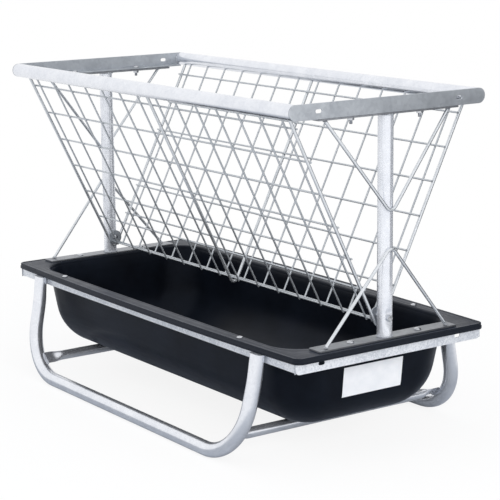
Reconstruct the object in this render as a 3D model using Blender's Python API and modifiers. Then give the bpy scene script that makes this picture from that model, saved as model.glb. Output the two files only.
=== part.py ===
"""Sheep bunk feeder: a black plastic trough in a galvanised frame on two skids, with a V hay rack above it.

Metres, +Z up. X runs along the feeder, Y across it, and the feeder stands on Z = 0 with its middle over
the origin. Every steel piece, plastic piece and fastener is an object of its own.
"""
from math import atan2, cos, pi, radians, sin, sqrt, tan

import bmesh
import bpy
from mathutils import Matrix, Vector

# Fits
GAP = 0.0003             # clearance between pieces that touch
HOLE_PLAY = 0.0006       # radial play of a bolt in its hole
WELD_SINK = 0.0008       # how far crossing wires are pressed into each other by the weld
HEEL = 0.0004            # an angle's flange starts this far inside the edge of its face

# Tubing of the skids, posts and top rails
TUBE_RADIUS = 0.0211
TUBE_WALL = 0.0026
TUBE_SIDES = 16

# Trough
TROUGH_DEPTH = 0.2484    # flat top of the rim down to the underside of the floor
TROUGH_WALL = 0.0045
RIM_HALF_LENGTH = 0.7730
RIM_HALF_WIDTH = 0.3295
END_RIM_WIDTH = 0.0750   # wall to the lip, at the ends
SIDE_RIM_WIDTH = 0.0338  # and along the sides
TROUGH_CORNER = 0.1050   # plan radius of the wall's corners at the rim
FLOOR_CORNER = 0.1306    # and at the floor, before the floor radius is taken off
END_FLOOR_RADIUS = 0.1000
SIDE_FLOOR_RADIUS = 0.1235
END_DRAFT = 0.0292
SIDE_DRAFT = 0.0244
RIM_CORNER = 0.0250
RIM_BOW = 0.0180         # the long sides of the rim swell out this much at mid length
RIM_SHOULDER = 0.0100
RIM_BEAD_WIDTH = 0.0060
RIM_BEAD_HEIGHT = 0.0012
LIP_DEPTH = 0.0165
LIP_STEP_DEPTH = 0.0085
LIP_STEP = 0.0018
CORNER_STEPS = 6
SIDE_STEPS = 6
FLOOR_STEPS = 5

# Base frame of welded angle
END_RAIL_INSET = 0.0157  # edge of the rim to the outer face of an end rail
LONG_RAIL_INSET = 0.0065      # edge of the rim to the upright leg of a long rail, inside of the lip
RAIL_THICKNESS = 0.0032
LONG_RAIL_DEPTH = 0.0355
LONG_RAIL_FLANGE = 0.0200
END_RAIL_DEPTH = 0.0405
END_RAIL_FLANGE = 0.0480
END_RAIL_CORNER = 0.0120
SLOT_LENGTH = 0.0220
SLOT_WIDTH = 0.0105
FRAME_SLOT_INSET = 0.0850     # end of an end rail to the middle of its slot
FRAME_SLOT_DROP = 0.0250      # rim down to the slots of an end rail

# Skids
SKID_INSET = 0.1834      # edge of the rim to where leg and ground run would meet without a bend
SKID_LEAN = radians(12.47)    # the U leans out this much
SKID_RAKE = radians(2.64)     # and its legs spread this much along the feeder
SKID_TOP_OUT = 0.0005    # long rail to the axis of an unpressed leg at the height of the rim
SKID_BEND = 0.1665
SKID_SIDES = 14
BEND_STEPS = 7

# Cross tubes under the trough
CROSS_RADIUS = 0.0152
CROSS_WALL = 0.0025
CROSS_TURN = radians(37.2)    # how far up the skids' bends the cross tubes sit
CROSS_SIDES = 12
CRIMP_LENGTH = 0.0200
CRIMP_TAPER = 0.0420
CRIMP_THICKNESS = 0.0070
CRIMP_WIDTH = 0.0440
CRIMP_SLIT = 0.0012      # opening left between the two halves of the crimp
CRIMP_INSET = 0.0095     # the crimp stops this far inside of the skid's axis

# Top ring
RING_RISE = 0.6391       # rim to the axes of the two long tubes
RING_INSET = 0.0230      # edge of the rim to the outer face of an end angle, seen from above
RING_WIDTH = 0.6262      # between the axes of the two long tubes
ANGLE_THICKNESS = 0.0048
ANGLE_FLANGE = 0.0380
ANGLE_FLANGE_STOP = 0.0060    # clear of the long tubes
RING_SLOT_INSET = 0.0731      # axis of a long tube to the middle of a slot

# End stands
POST_INSET = 0.0460      # edge of the rim to the axis of a post, seen from above
FOOT_STRAP_WIDTH = 0.0500
TOP_STRAP_WIDTH = 0.0450
STRAP_HALF_LENGTH = 0.2400
STRAP_THICKNESS = 0.0050
STRAP_CORNER = 0.0040
STRAP_BOLT_SPREAD = 0.1180
POST_RINGS = (-0.030, -0.019, -0.010, 0.010, 0.019, 0.030)
DIMPLE_DEPTH = 0.0045    # the post is pressed flat this deep round the nut of the basket bolt
DIMPLE_HALF_HEIGHT = 0.0260
BRACE_RADIUS = 0.0047
BRACE_BEND = 0.0180
BRACE_INSET = 0.0300     # end of the strap to the end of a brace
BRACE_CLEAR = 0.0009     # post to the middle of the bend, which leans in above and below
BRACE_END_INSET = 0.0130      # outer edge of the strap to the end of a brace
LOWER_BRACE_RISE = 0.2500     # rim to the top of the lower brace
UPPER_BRACE_DROP = 0.2830     # axis of the ring down to the bottom of the upper brace

# Hay rack
ROD_RADIUS = 0.0047
WIRE_RADIUS = 0.0028
WIRE_PITCH = 0.1016
RACK_SEAT_INSET = 0.0130      # the rack meets the long tubes this far inside of their axes
RACK_BOTTOM_RISE = 0.0310     # rim to the middle of a V rod at its lowest
RACK_BEND = 0.0120
LOWEST_WIRE_RISE = 0.0446     # rim to the lowest long wires
MIDDLE_ROD_X = 0.0120
WIRE_OVERHANG = 0.0035   # the long wires run this far past the middle of the end rods

# Fasteners
STRAP_BOLT_RADIUS = 0.0048
STRAP_BOLT_HEAD = 0.0105
STRAP_BOLT_DOME = 0.0052
STRAP_NUT_ACROSS = 0.0160
STRAP_NUT_THICKNESS = 0.0080
STRAP_BOLT_TAIL = 0.0100
BASKET_BOLT_HEAD = 0.0084
BASKET_BOLT_RISE = 0.0580
RIM_BOLT_RADIUS = 0.0039
RIM_BOLT_HEAD = 0.0090
RIM_BOLT_DOME = 0.0045
RIM_BOLT_SHIFT = 0.1030  # skid corner to the rim bolt next to it
RIM_BOLT_IN = 0.0116     # long rail's outer face to the rim bolts
RIM_NUT_ACROSS = 0.0130
RIM_NUT_THICKNESS = 0.0065
RIM_BOLT_TAIL = 0.0030
CLAMP_RADIUS = 0.0240
CLAMP_THICKNESS = 0.0030

# Blank decal on the right end
DECAL_HALF_WIDTH = 0.1040
DECAL_SHIFT = -0.0050
DECAL_TOP_DROP = 0.0758
DECAL_HEIGHT = 0.0858
DECAL_THICKNESS = 0.0006

# Places that follow from the sizes above
END_RAIL_X = RIM_HALF_LENGTH - END_RAIL_INSET
LONG_RAIL_Y = RIM_HALF_WIDTH - LONG_RAIL_INSET
TROUGH_HALF_LENGTH = RIM_HALF_LENGTH - END_RIM_WIDTH
TROUGH_HALF_WIDTH = RIM_HALF_WIDTH - SIDE_RIM_WIDTH
SKID_FOOT_HALF = RIM_HALF_LENGTH - SKID_INSET
RIM_BOLT_X = SKID_FOOT_HALF - RIM_BOLT_SHIFT
RIM_BOLT_Y = LONG_RAIL_Y - RIM_BOLT_IN
BEND_CENTRE_X = SKID_FOOT_HALF - SKID_BEND / tan(pi / 4 + SKID_RAKE / 2)
BEND_CENTRE_Z = TUBE_RADIUS + SKID_BEND * cos(SKID_LEAN)
HALF_BEND_STEP = (pi / 2 - SKID_RAKE) / BEND_STEPS / 2
CRIMP_FACE = SKID_BEND * cos(HALF_BEND_STEP) - sqrt((TUBE_RADIUS + GAP) ** 2 - CRIMP_INSET ** 2)
CRIMP_TOWARDS = Vector((sin(CROSS_TURN), 0.0, -cos(CROSS_TURN) * cos(SKID_LEAN))).normalized()
CROSS_X = BEND_CENTRE_X + CRIMP_FACE * sin(CROSS_TURN) - CRIMP_TOWARDS.x * CRIMP_THICKNESS / 2
CROSS_Z = (BEND_CENTRE_Z - CRIMP_FACE * cos(CROSS_TURN) * cos(SKID_LEAN) - CRIMP_INSET * sin(SKID_LEAN)
           - CRIMP_TOWARDS.z * CRIMP_THICKNESS / 2)
TROUGH_FLOOR = CROSS_Z + CROSS_RADIUS + GAP
RIM_HEIGHT = TROUGH_FLOOR + TROUGH_DEPTH
RIM_UNDERSIDE = RIM_HEIGHT - TROUGH_WALL
RAIL_TOP = RIM_UNDERSIDE - GAP
FLANGE_UNDERSIDE = RAIL_TOP - RAIL_THICKNESS
SKID_TOP_HALF = SKID_FOOT_HALF + (RIM_HEIGHT - TUBE_RADIUS) * tan(SKID_RAKE) / cos(SKID_LEAN)
SKID_TOP_Y = LONG_RAIL_Y + SKID_TOP_OUT
SKID_FOOT_Y = SKID_TOP_Y + (RIM_HEIGHT - TUBE_RADIUS) * tan(SKID_LEAN)
CROSS_END = (SKID_FOOT_Y - (SKID_BEND - CRIMP_FACE * cos(CROSS_TURN)) * sin(SKID_LEAN)
             - CRIMP_INSET * cos(SKID_LEAN))
RING_HEIGHT = RIM_HEIGHT + RING_RISE
RING_X = RIM_HALF_LENGTH - RING_INSET
TUBE_Y = RING_WIDTH / 2
ANGLE_BOTTOM = RING_HEIGHT - TUBE_RADIUS
TOP_STRAP_TOP = ANGLE_BOTTOM - GAP
TOP_STRAP_UNDERSIDE = TOP_STRAP_TOP - STRAP_THICKNESS
FOOT_STRAP_TOP = RIM_HEIGHT + GAP + STRAP_THICKNESS
POST_X = RIM_HALF_LENGTH - POST_INSET
POST_FACE = POST_X + TUBE_RADIUS
BRACE_SPREAD = STRAP_HALF_LENGTH - BRACE_INSET
END_ROD_X = POST_X - TUBE_RADIUS - GAP - ROD_RADIUS
CLAMP_FACE = END_ROD_X - ROD_RADIUS - GAP
BASKET_BOLT_Z = RIM_HEIGHT + BASKET_BOLT_RISE

COLLECTION_NAME = "sheep_bunk_feeder"
CUTTER_COLLECTION_NAME = "cutters"


def start_scene():
    """Empty the scene and make the two collections."""
    for old in list(bpy.data.objects):
        bpy.data.objects.remove(old, do_unlink=True)
    made = []
    for name in (COLLECTION_NAME, CUTTER_COLLECTION_NAME):
        collection = bpy.data.collections.new(name)
        bpy.context.scene.collection.children.link(collection)
        made.append(collection)
    return made


PARTS, CUTTERS = start_scene()


def material(name, colour, metallic, roughness):
    """A Principled material of one colour."""
    made = bpy.data.materials.new(name)
    made.use_nodes = True
    shader = made.node_tree.nodes["Principled BSDF"]
    shader.inputs["Base Color"].default_value = (*colour, 1.0)
    shader.inputs["Metallic"].default_value = metallic
    shader.inputs["Roughness"].default_value = roughness
    made.diffuse_color = (*colour, 1.0)
    return made


GALVANISED = material("galvanised_steel", (0.62, 0.65, 0.68), 0.9, 0.38)
BRIGHT_ZINC = material("bright_zinc_wire", (0.72, 0.74, 0.76), 0.9, 0.32)
ZINC_PLATED = material("zinc_plated_fastener", (0.66, 0.68, 0.70), 1.0, 0.30)
BLACK_PLASTIC = material("black_polyethylene", (0.018, 0.020, 0.024), 0.0, 0.42)
DECAL_WHITE = material("white_vinyl", (0.86, 0.86, 0.86), 0.0, 0.35)


def mesh_object(name, mesh, finish, collection=None):
    """Put a mesh into the scene as an object, smooth where it is round."""
    mesh.materials.clear()
    if finish:
        mesh.materials.append(finish)
    mesh.shade_smooth()
    mesh.set_sharp_from_angle(angle=radians(40))
    made = bpy.data.objects.new(name, mesh)
    (collection or PARTS).objects.link(made)
    return made


def finish_bmesh(bm, name, finish, collection=None):
    """Turn a bmesh into an object with its faces pointing out."""
    bmesh.ops.recalc_face_normals(bm, faces=bm.faces)
    mesh = bpy.data.meshes.new(name)
    bm.to_mesh(mesh)
    bm.free()
    return mesh_object(name, mesh, finish, collection)


def curve_to_mesh(curve_object, finish, collection=None):
    """Replace a curve by a mesh object whose caps are welded to its sides."""
    bpy.context.view_layer.update()
    evaluated = curve_object.evaluated_get(bpy.context.evaluated_depsgraph_get())
    mesh = bpy.data.meshes.new_from_object(evaluated)
    mesh.transform(curve_object.matrix_world)
    bm = bmesh.new()
    bm.from_mesh(mesh)
    bmesh.ops.remove_doubles(bm, verts=bm.verts, dist=0.000001)
    name = curve_object.name
    bpy.data.objects.remove(curve_object, do_unlink=True)
    bpy.data.meshes.remove(mesh)
    return finish_bmesh(bm, name, finish, collection)


def box(name, low, high, finish=None, collection=None):
    """A box between two opposite corners."""
    low, high = Vector(low), Vector(high)
    bm = bmesh.new()
    size = Matrix.Diagonal((*[abs(length) for length in high - low], 1.0))
    bmesh.ops.create_cube(bm, size=1.0, matrix=Matrix.Translation((low + high) / 2) @ size)
    return finish_bmesh(bm, name, finish, collection)


def cylinder(name, start, end, radius, sides, finish=None, collection=None):
    """A solid cylinder between two points."""
    start, end = Vector(start), Vector(end)
    along = end - start
    turn = along.to_track_quat("Z", "Y").to_matrix().to_4x4()
    bm = bmesh.new()
    bmesh.ops.create_cone(
        bm, cap_ends=True, segments=sides, radius1=radius, radius2=radius, depth=along.length,
        matrix=Matrix.Translation((start + end) / 2) @ turn)
    return finish_bmesh(bm, name, finish, collection)


def circle(centre, radius, sides, turn=0.0):
    """Points of a circle in a plate's own plane."""
    step = 2 * pi / sides
    return [(centre[0] + radius * cos(turn + step * k), centre[1] + radius * sin(turn + step * k))
            for k in range(sides)]


def slot(centre, length, width, steps=5):
    """Points of a slot with round ends, long along the plate's first direction."""
    radius, straight = width / 2, (length - width) / 2
    points = []
    for side, start in ((1, -pi / 2), (-1, pi / 2)):
        points += [(centre[0] + side * straight + radius * cos(start + pi * k / steps),
                    centre[1] + radius * sin(start + pi * k / steps)) for k in range(steps + 1)]
    return points


def rounded(half_length, half_width, radius, steps=3):
    """Points of a rectangle with round corners."""
    points = []
    for number in range(4):
        middle = ((half_length - radius) * (1, -1, -1, 1)[number],
                  (half_width - radius) * (1, 1, -1, -1)[number])
        for k in range(steps + 1):
            angle = pi / 2 * (number + k / steps)
            points.append((middle[0] + radius * cos(angle), middle[1] + radius * sin(angle)))
    return points


def plate(name, outline, holes, thickness, place, finish=None, collection=None):
    """A flat piece with holes, drawn in its own plane and set in place by a matrix."""
    data = bpy.data.curves.new(name, "CURVE")
    data.dimensions = "2D"
    data.fill_mode = "BOTH"
    data.extrude = thickness / 2
    for points in (outline, *holes):
        spline = data.splines.new("POLY")
        spline.points.add(len(points) - 1)
        for point, (x, y) in zip(spline.points, points):
            point.co = (x, y, 0.0, 1.0)
        spline.use_cyclic_u = True
    drawn = bpy.data.objects.new(name, data)
    drawn.matrix_world = place
    (collection or PARTS).objects.link(drawn)
    return curve_to_mesh(drawn, finish, collection)


def rod(name, points, radius, finish, rings=2, collection=None):
    """A solid rod or wire along a row of points."""
    data = bpy.data.curves.new(name, "CURVE")
    data.dimensions = "3D"
    data.bevel_depth = radius
    data.bevel_resolution = rings
    data.use_fill_caps = True
    spline = data.splines.new("POLY")
    spline.points.add(len(points) - 1)
    for point, place in zip(spline.points, points):
        point.co = (*place, 1.0)
    drawn = bpy.data.objects.new(name, data)
    (collection or PARTS).objects.link(drawn)
    return curve_to_mesh(drawn, finish, collection)


def loft(name, loops, finish, ring_shut=False):
    """Skin a row of point loops: capped at both ends, or shut back onto the first loop."""
    bm = bmesh.new()
    rows = [[bm.verts.new(point) for point in loop] for loop in loops]
    count = len(rows[0])
    pairs = list(zip(rows, rows[1:]))
    if ring_shut:
        pairs.append((rows[-1], rows[0]))
    for lower, upper in pairs:
        for k in range(count):
            after = (k + 1) % count
            bm.faces.new((lower[k], lower[after], upper[after], upper[k]))
    if not ring_shut:
        bm.faces.new(rows[0])
        bm.faces.new(rows[-1])
    return finish_bmesh(bm, name, finish)


def boolean(target, tool, operation):
    """Cut a piece with a tool, or join the tool to it."""
    if tool.name not in CUTTERS.objects:
        for collection in list(tool.users_collection):
            collection.objects.unlink(tool)
        CUTTERS.objects.link(tool)
    tool.hide_render = True
    tool.display_type = "WIRE"
    modifier = target.modifiers.new(tool.name, "BOOLEAN")
    modifier.operation = operation
    modifier.solver = "EXACT"
    modifier.object = tool


def filleted(corners, radius, steps):
    """A row of points through the corners, with an arc in place of each inner corner."""
    corners = [Vector(corner) for corner in corners]
    points = [corners[0]]
    for before, corner, after in zip(corners, corners[1:], corners[2:]):
        back, on = (before - corner).normalized(), (after - corner).normalized()
        half = back.angle(on) / 2
        middle = corner + (back + on).normalized() * (radius / sin(half))
        first = corner + back * (radius / tan(half)) - middle
        last = corner + on * (radius / tan(half)) - middle
        for k in range(steps + 1):
            points.append(middle + first.slerp(last, k / steps) * radius)
    points.append(corners[-1])
    return points


def mirrored(sign, point):
    """The same point at the other end of the feeder for sign -1."""
    return Vector((sign * point[0], point[1], point[2]))


def long_rail(name, side):
    """Angle along one long side: an upright leg inside of the lip, its flange turned in under the rim."""
    reach = END_RAIL_X - RAIL_THICKNESS - GAP
    made = box(name, (-reach, side * (LONG_RAIL_Y - RAIL_THICKNESS), RAIL_TOP - LONG_RAIL_DEPTH),
               (reach, side * LONG_RAIL_Y, RAIL_TOP), GALVANISED)
    root, tip = LONG_RAIL_Y - RAIL_THICKNESS / 2, LONG_RAIL_Y - LONG_RAIL_FLANGE
    half_length, half_width = END_RAIL_X - END_RAIL_FLANGE - GAP, (root - tip) / 2
    outline = [(-half_length, -half_width), (half_length, -half_width), (half_length, half_width),
               (-half_length, half_width)]
    middle = (root + tip) / 2
    holes = [circle((end * RIM_BOLT_X, side * (RIM_BOLT_Y - middle)), RIM_BOLT_RADIUS + HOLE_PLAY, 12)
             for end in (-1, 1)]
    flange = plate(f"{name}_flange", outline, holes, RAIL_THICKNESS - HEEL,
                   level_plane(0.0, side * middle, RAIL_TOP - (RAIL_THICKNESS + HEEL) / 2), GALVANISED)
    boolean(made, flange, "UNION")
    return made


def upright_plane(end, x):
    """Plate frame for a piece that faces along X: its first direction is Y, its second Z."""
    return Matrix(((0, 0, end, x), (1, 0, 0, 0), (0, 1, 0, 0), (0, 0, 0, 1)))


def level_plane(x, y, z):
    """Plate frame for a piece that lies flat."""
    return Matrix.Translation((x, y, z))


def cut_slots(face, end, x, spread, z):
    """Two level slots through an end face, one on each side of the middle."""
    for side in (-1, 1):
        cutter = plate(f"{face.name}_slot_{side}", slot((side * spread, z), SLOT_LENGTH, SLOT_WIDTH), [],
                       0.02, upright_plane(end, x), None, CUTTERS)
        boolean(face, cutter, "DIFFERENCE")


def end_rail(name, end):
    """Angle across one end: slotted face outwards, flange turned in under the rim."""
    bottom = RAIL_TOP - END_RAIL_DEPTH
    radius, steps = END_RAIL_CORNER, 4
    outline = [(LONG_RAIL_Y, RAIL_TOP), (-LONG_RAIL_Y, RAIL_TOP)]
    for side, start in ((-1, pi), (1, 1.5 * pi)):
        for k in range(steps + 1):
            angle = start + pi / 2 * k / steps
            outline.append((side * (LONG_RAIL_Y - radius) + radius * cos(angle),
                            bottom + radius + radius * sin(angle)))
    face_x = end * (END_RAIL_X - RAIL_THICKNESS / 2)
    made = plate(name, outline, [], RAIL_THICKNESS, upright_plane(end, face_x), GALVANISED)
    cut_slots(made, end, face_x, LONG_RAIL_Y - FRAME_SLOT_INSET, RIM_HEIGHT - FRAME_SLOT_DROP)
    root = END_RAIL_X - RAIL_THICKNESS / 2
    tip = END_RAIL_X - END_RAIL_FLANGE
    half = LONG_RAIL_Y - RAIL_THICKNESS - GAP
    middle = (root + tip) / 2
    flange_outline = [(-(root - tip) / 2, -half), ((root - tip) / 2, -half),
                      ((root - tip) / 2, half), (-(root - tip) / 2, half)]
    holes = [circle((end * (POST_X - middle), side * STRAP_BOLT_SPREAD), STRAP_BOLT_RADIUS + HOLE_PLAY, 12)
             for side in (-1, 1)]
    flange = plate(f"{name}_flange", flange_outline, holes, RAIL_THICKNESS - HEEL,
                   level_plane(end * middle, 0.0, RAIL_TOP - (RAIL_THICKNESS + HEEL) / 2), GALVANISED)
    boolean(made, flange, "UNION")
    return made


def trough_loop(half_length, half_width, corner, z, bow=0.0):
    """One level outline of the trough, with its long sides swelled out by the bow."""
    quarter = []
    for k in range(CORNER_STEPS + 1):
        angle = pi / 2 * k / CORNER_STEPS
        quarter.append((half_length - corner + corner * cos(angle), half_width - corner + corner * sin(angle)))
    along = [(half_length - corner) * (1 - 2 * k / SIDE_STEPS) for k in range(1, SIDE_STEPS)]
    loop = quarter + [(x, half_width) for x in along]
    loop += [(-x, y) for x, y in reversed(quarter)]
    loop += [(-x, -y) for x, y in quarter] + [(-x, -half_width) for x in along]
    loop += [(x, -y) for x, y in reversed(quarter)]
    points = []
    for x, y in loop:
        swell = bow * max(0.0, 1 - (x / half_length) ** 2)
        points.append((x, y + (swell if y > 0 else -swell), z))
    return points


def wall_levels(inset):
    """Depth, half length, half width and corner radius down the wall, for the outside moved in by inset."""
    depth = TROUGH_DEPTH - inset
    end_radius, side_radius = END_FLOOR_RADIUS - inset, SIDE_FLOOR_RADIUS - inset
    downs = [RIM_SHOULDER + inset]
    downs += [depth - side_radius * (1 - sin(pi / 2 * k / FLOOR_STEPS)) for k in range(FLOOR_STEPS + 1)]
    levels = []
    for down in downs:
        share = down / depth
        end_in, side_in = [radius - sqrt(radius ** 2 - max(0.0, down - depth + radius) ** 2)
                           for radius in (end_radius, side_radius)]
        corner = TROUGH_CORNER + (FLOOR_CORNER - TROUGH_CORNER) * share - (end_in + side_in) / 2
        levels.append((down, TROUGH_HALF_LENGTH - END_DRAFT * share - inset - end_in,
                       TROUGH_HALF_WIDTH - SIDE_DRAFT * share - inset - side_in, corner - inset))
    return levels


def trough_wall_loops(inset):
    """Level outlines of the trough's wall and floor radius."""
    return [trough_loop(half_length, half_width, corner, RIM_HEIGHT - down)
            for down, half_length, half_width, corner in wall_levels(inset)]


def trough():
    """Moulded trough: floor, drafted walls, flat rim with a raised bead, and a stepped lip."""
    inside = trough_wall_loops(TROUGH_WALL)
    outside = trough_wall_loops(0.0)

    def rim(inset, z, corner=None):
        radius = RIM_CORNER - inset if corner is None else corner
        return trough_loop(RIM_HALF_LENGTH - inset, RIM_HALF_WIDTH - inset, radius, z, RIM_BOW)

    def shoulder(inset, z):
        return trough_loop(TROUGH_HALF_LENGTH + inset, TROUGH_HALF_WIDTH + inset, TROUGH_CORNER + inset, z)

    bead_top = RIM_HEIGHT + RIM_BEAD_HEIGHT
    chamfer = 0.0020
    inner_shoulder = [shoulder(RIM_SHOULDER * (1 - cos(pi / 2 * share)) - TROUGH_WALL,
                               RIM_HEIGHT - RIM_SHOULDER * (1 - sin(pi / 2 * share)))
                      for share in (0.35, 0.7, 1.0)]
    over_rim = [rim(LIP_STEP + chamfer + RIM_BEAD_WIDTH + RIM_BEAD_HEIGHT, RIM_HEIGHT),
                rim(LIP_STEP + chamfer + RIM_BEAD_WIDTH, bead_top),
                rim(LIP_STEP + chamfer, bead_top),
                rim(LIP_STEP, bead_top - chamfer),
                rim(LIP_STEP, bead_top - LIP_STEP_DEPTH),
                rim(0.0, bead_top - LIP_STEP_DEPTH - LIP_STEP / 2),
                rim(0.0, bead_top - LIP_DEPTH)]
    under_rim = [rim(TROUGH_WALL * 0.8, bead_top - LIP_DEPTH),
                 rim(TROUGH_WALL * 0.8, RIM_UNDERSIDE),
                 shoulder(RIM_SHOULDER - TROUGH_WALL, RIM_UNDERSIDE)]
    loops = list(reversed(inside)) + inner_shoulder + over_rim + under_rim + outside
    made = loft("trough", loops, BLACK_PLASTIC)
    places = [(end * RIM_BOLT_X, side * RIM_BOLT_Y, RIM_BOLT_RADIUS)
              for end in (-1, 1) for side in (-1, 1)]
    places += [(end * POST_X, side * STRAP_BOLT_SPREAD, STRAP_BOLT_RADIUS)
               for end in (-1, 1) for side in (-1, 1)]
    for number, (x, y, radius) in enumerate(places):
        hole = cylinder(f"trough_hole_{number}", (x, y, RIM_UNDERSIDE - 0.003), (x, y, RIM_HEIGHT + 0.003),
                        radius + HOLE_PLAY, 10)
        boolean(made, hole, "DIFFERENCE")
    return made


def section(centre, first, second, half_first, half_second, sides):
    """An oval of points round a centre."""
    return [centre + first * (half_first * cos(2 * pi * k / sides)) + second * (half_second * sin(2 * pi * k / sides))
            for k in range(sides)]


def flat_section(centre, first, second, radius, half_straight, sides):
    """Points round a pressed tube: two half circles, with a straight on each side that runs along second."""
    points = []
    for k in range(sides):
        high = sin(2 * pi * k / sides)
        straight = 0.0 if abs(high) < 0.001 else half_straight * (1 if high > 0 else -1)
        points.append(centre + first * (radius * cos(2 * pi * k / sides)) + second * (radius * high + straight))
    return points


def tube_along(name, points, across, radius, wall, sides, finish):
    """A hollow round tube along a bent path in one plane; across is that plane's normal."""
    outer, inner = [], []
    for number, point in enumerate(points):
        before = points[max(number - 1, 0)]
        after = points[min(number + 1, len(points) - 1)]
        along = (after - before).normalized()
        sideways = along.cross(across).normalized()
        outer.append(section(point, across, sideways, radius, radius, sides))
        inner.append(section(point, across, sideways, radius - wall, radius - wall, sides))
    return loft(name, outer + list(reversed(inner)), finish, ring_shut=True)


def skid(name, side):
    """U of tube under one long side: large bends, a ground run, and legs pressed flat against the long rail."""
    corners = [(-SKID_TOP_HALF, side * SKID_TOP_Y, RIM_HEIGHT), (-SKID_FOOT_HALF, side * SKID_FOOT_Y, TUBE_RADIUS),
               (SKID_FOOT_HALF, side * SKID_FOOT_Y, TUBE_RADIUS), (SKID_TOP_HALF, side * SKID_TOP_Y, RIM_HEIGHT)]
    across = Vector((0.0, cos(SKID_LEAN), side * sin(SKID_LEAN)))
    points = filleted(corners, SKID_BEND, BEND_STEPS)
    pressed_from = (SKID_TOP_OUT - GAP - TUBE_RADIUS * cos(SKID_LEAN)) / (SKID_TOP_Y - SKID_FOOT_Y)
    points[1:1] = [points[0].lerp(Vector(corners[1]), pressed_from)]
    points[-1:-1] = [points[-1].lerp(Vector(corners[2]), pressed_from)]
    outer, inner = [], []
    for number, point in enumerate(points):
        along = (points[min(number + 1, len(points) - 1)] - points[max(number - 1, 0)]).normalized()
        sideways = along.cross(across).normalized()
        to_rail = (side * point.y - LONG_RAIL_Y - GAP) / cos(SKID_LEAN)
        pressed = TUBE_RADIUS - min(TUBE_RADIUS, to_rail)
        centre = point + across * (side * pressed / 2)
        outer.append(flat_section(centre, across, sideways, TUBE_RADIUS - pressed / 2, pressed * pi / 4, SKID_SIDES))
        inner.append(flat_section(centre, across, sideways, TUBE_RADIUS - TUBE_WALL - pressed / 2,
                                  pressed * pi / 4, SKID_SIDES))
    made = loft(name, outer + list(reversed(inner)), GALVANISED, ring_shut=True)
    leg_top = RIM_HEIGHT + RIM_BEAD_HEIGHT - LIP_DEPTH - GAP
    reach = SKID_TOP_HALF + 3 * TUBE_RADIUS
    above = box(f"{name}_above", (-reach, side * (SKID_TOP_Y - 3 * TUBE_RADIUS), leg_top),
                (reach, side * (SKID_FOOT_Y + 3 * TUBE_RADIUS), RIM_HEIGHT + 3 * TUBE_RADIUS))
    boolean(made, above, "DIFFERENCE")
    return made


def cross_tube(name, end):
    """Tube under the trough, crimped flat at both ends where it is welded inside the skids' bends."""
    towards = mirrored(end, CRIMP_TOWARDS)
    flat = towards.cross(Vector((0.0, 1.0, 0.0)))
    crimp_start = CROSS_END - CRIMP_LENGTH
    stations = [(CROSS_END, 1.0), (crimp_start, 1.0), (crimp_start - CRIMP_TAPER / 3, 0.72),
                (crimp_start - 2 * CRIMP_TAPER / 3, 0.25), (crimp_start - CRIMP_TAPER, 0.0)]
    stations += [(-y, crimp) for y, crimp in reversed(stations)]
    round_inside = CROSS_RADIUS - CROSS_WALL
    outer, inner = [], []
    for y, crimp in stations:
        centre = Vector((end * CROSS_X, y, CROSS_Z))
        thick = CROSS_RADIUS + (CRIMP_THICKNESS / 2 - CROSS_RADIUS) * crimp
        wide = CROSS_RADIUS + (CRIMP_WIDTH / 2 - CROSS_RADIUS) * crimp
        hollow = round_inside + (CRIMP_SLIT / 2 - round_inside) * crimp
        outer.append(section(centre, towards, flat, thick, wide, CROSS_SIDES))
        inner.append(section(centre, towards, flat, hollow, wide - CROSS_WALL, CROSS_SIDES))
    return loft(name, outer + list(reversed(inner)), GALVANISED, ring_shut=True)


def top_tube(name, side):
    """Long round tube of the top ring, open inside, butted between the end angles."""
    reach = RING_X - ANGLE_THICKNESS - GAP
    points = [Vector((-reach, side * TUBE_Y, RING_HEIGHT)), Vector((reach, side * TUBE_Y, RING_HEIGHT))]
    return tube_along(name, points, Vector((0.0, 0.0, 1.0)), TUBE_RADIUS, TUBE_WALL, TUBE_SIDES, GALVANISED)


def top_angle(name, end):
    """End angle of the top ring: face with round ends and two slots, flange turned in below."""
    half = TUBE_Y + TUBE_RADIUS
    outline = slot((0.0, RING_HEIGHT), 2 * half, 2 * TUBE_RADIUS, 8)
    face_x = end * (RING_X - ANGLE_THICKNESS / 2)
    made = plate(name, outline, [], ANGLE_THICKNESS, upright_plane(end, face_x), GALVANISED)
    cut_slots(made, end, face_x, TUBE_Y - RING_SLOT_INSET, RING_HEIGHT)
    root = RING_X - ANGLE_THICKNESS / 2
    tip = RING_X - ANGLE_THICKNESS - ANGLE_FLANGE
    middle, reach = (root + tip) / 2, (root - tip) / 2
    across = TUBE_Y - TUBE_RADIUS - ANGLE_FLANGE_STOP
    flange_outline = [(-reach, -across), (reach, -across), (reach, across), (-reach, across)]
    holes = [circle((end * (POST_X - middle), side * STRAP_BOLT_SPREAD), STRAP_BOLT_RADIUS + HOLE_PLAY, 12)
             for side in (-1, 1)]
    flange = plate(f"{name}_flange", flange_outline, holes, ANGLE_THICKNESS - HEEL,
                   level_plane(end * middle, 0.0, ANGLE_BOTTOM + (ANGLE_THICKNESS + HEEL) / 2), GALVANISED)
    boolean(made, flange, "UNION")
    return made


def strap(name, end, width, z):
    """Flat bar welded to one end of a post, with a bolt hole on each side of the post."""
    holes = [circle((0.0, side * STRAP_BOLT_SPREAD), STRAP_BOLT_RADIUS + HOLE_PLAY, 12) for side in (-1, 1)]
    return plate(name, rounded(width / 2, STRAP_HALF_LENGTH, STRAP_CORNER, 2), holes, STRAP_THICKNESS,
                 level_plane(end * POST_X, 0.0, z), GALVANISED)


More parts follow.
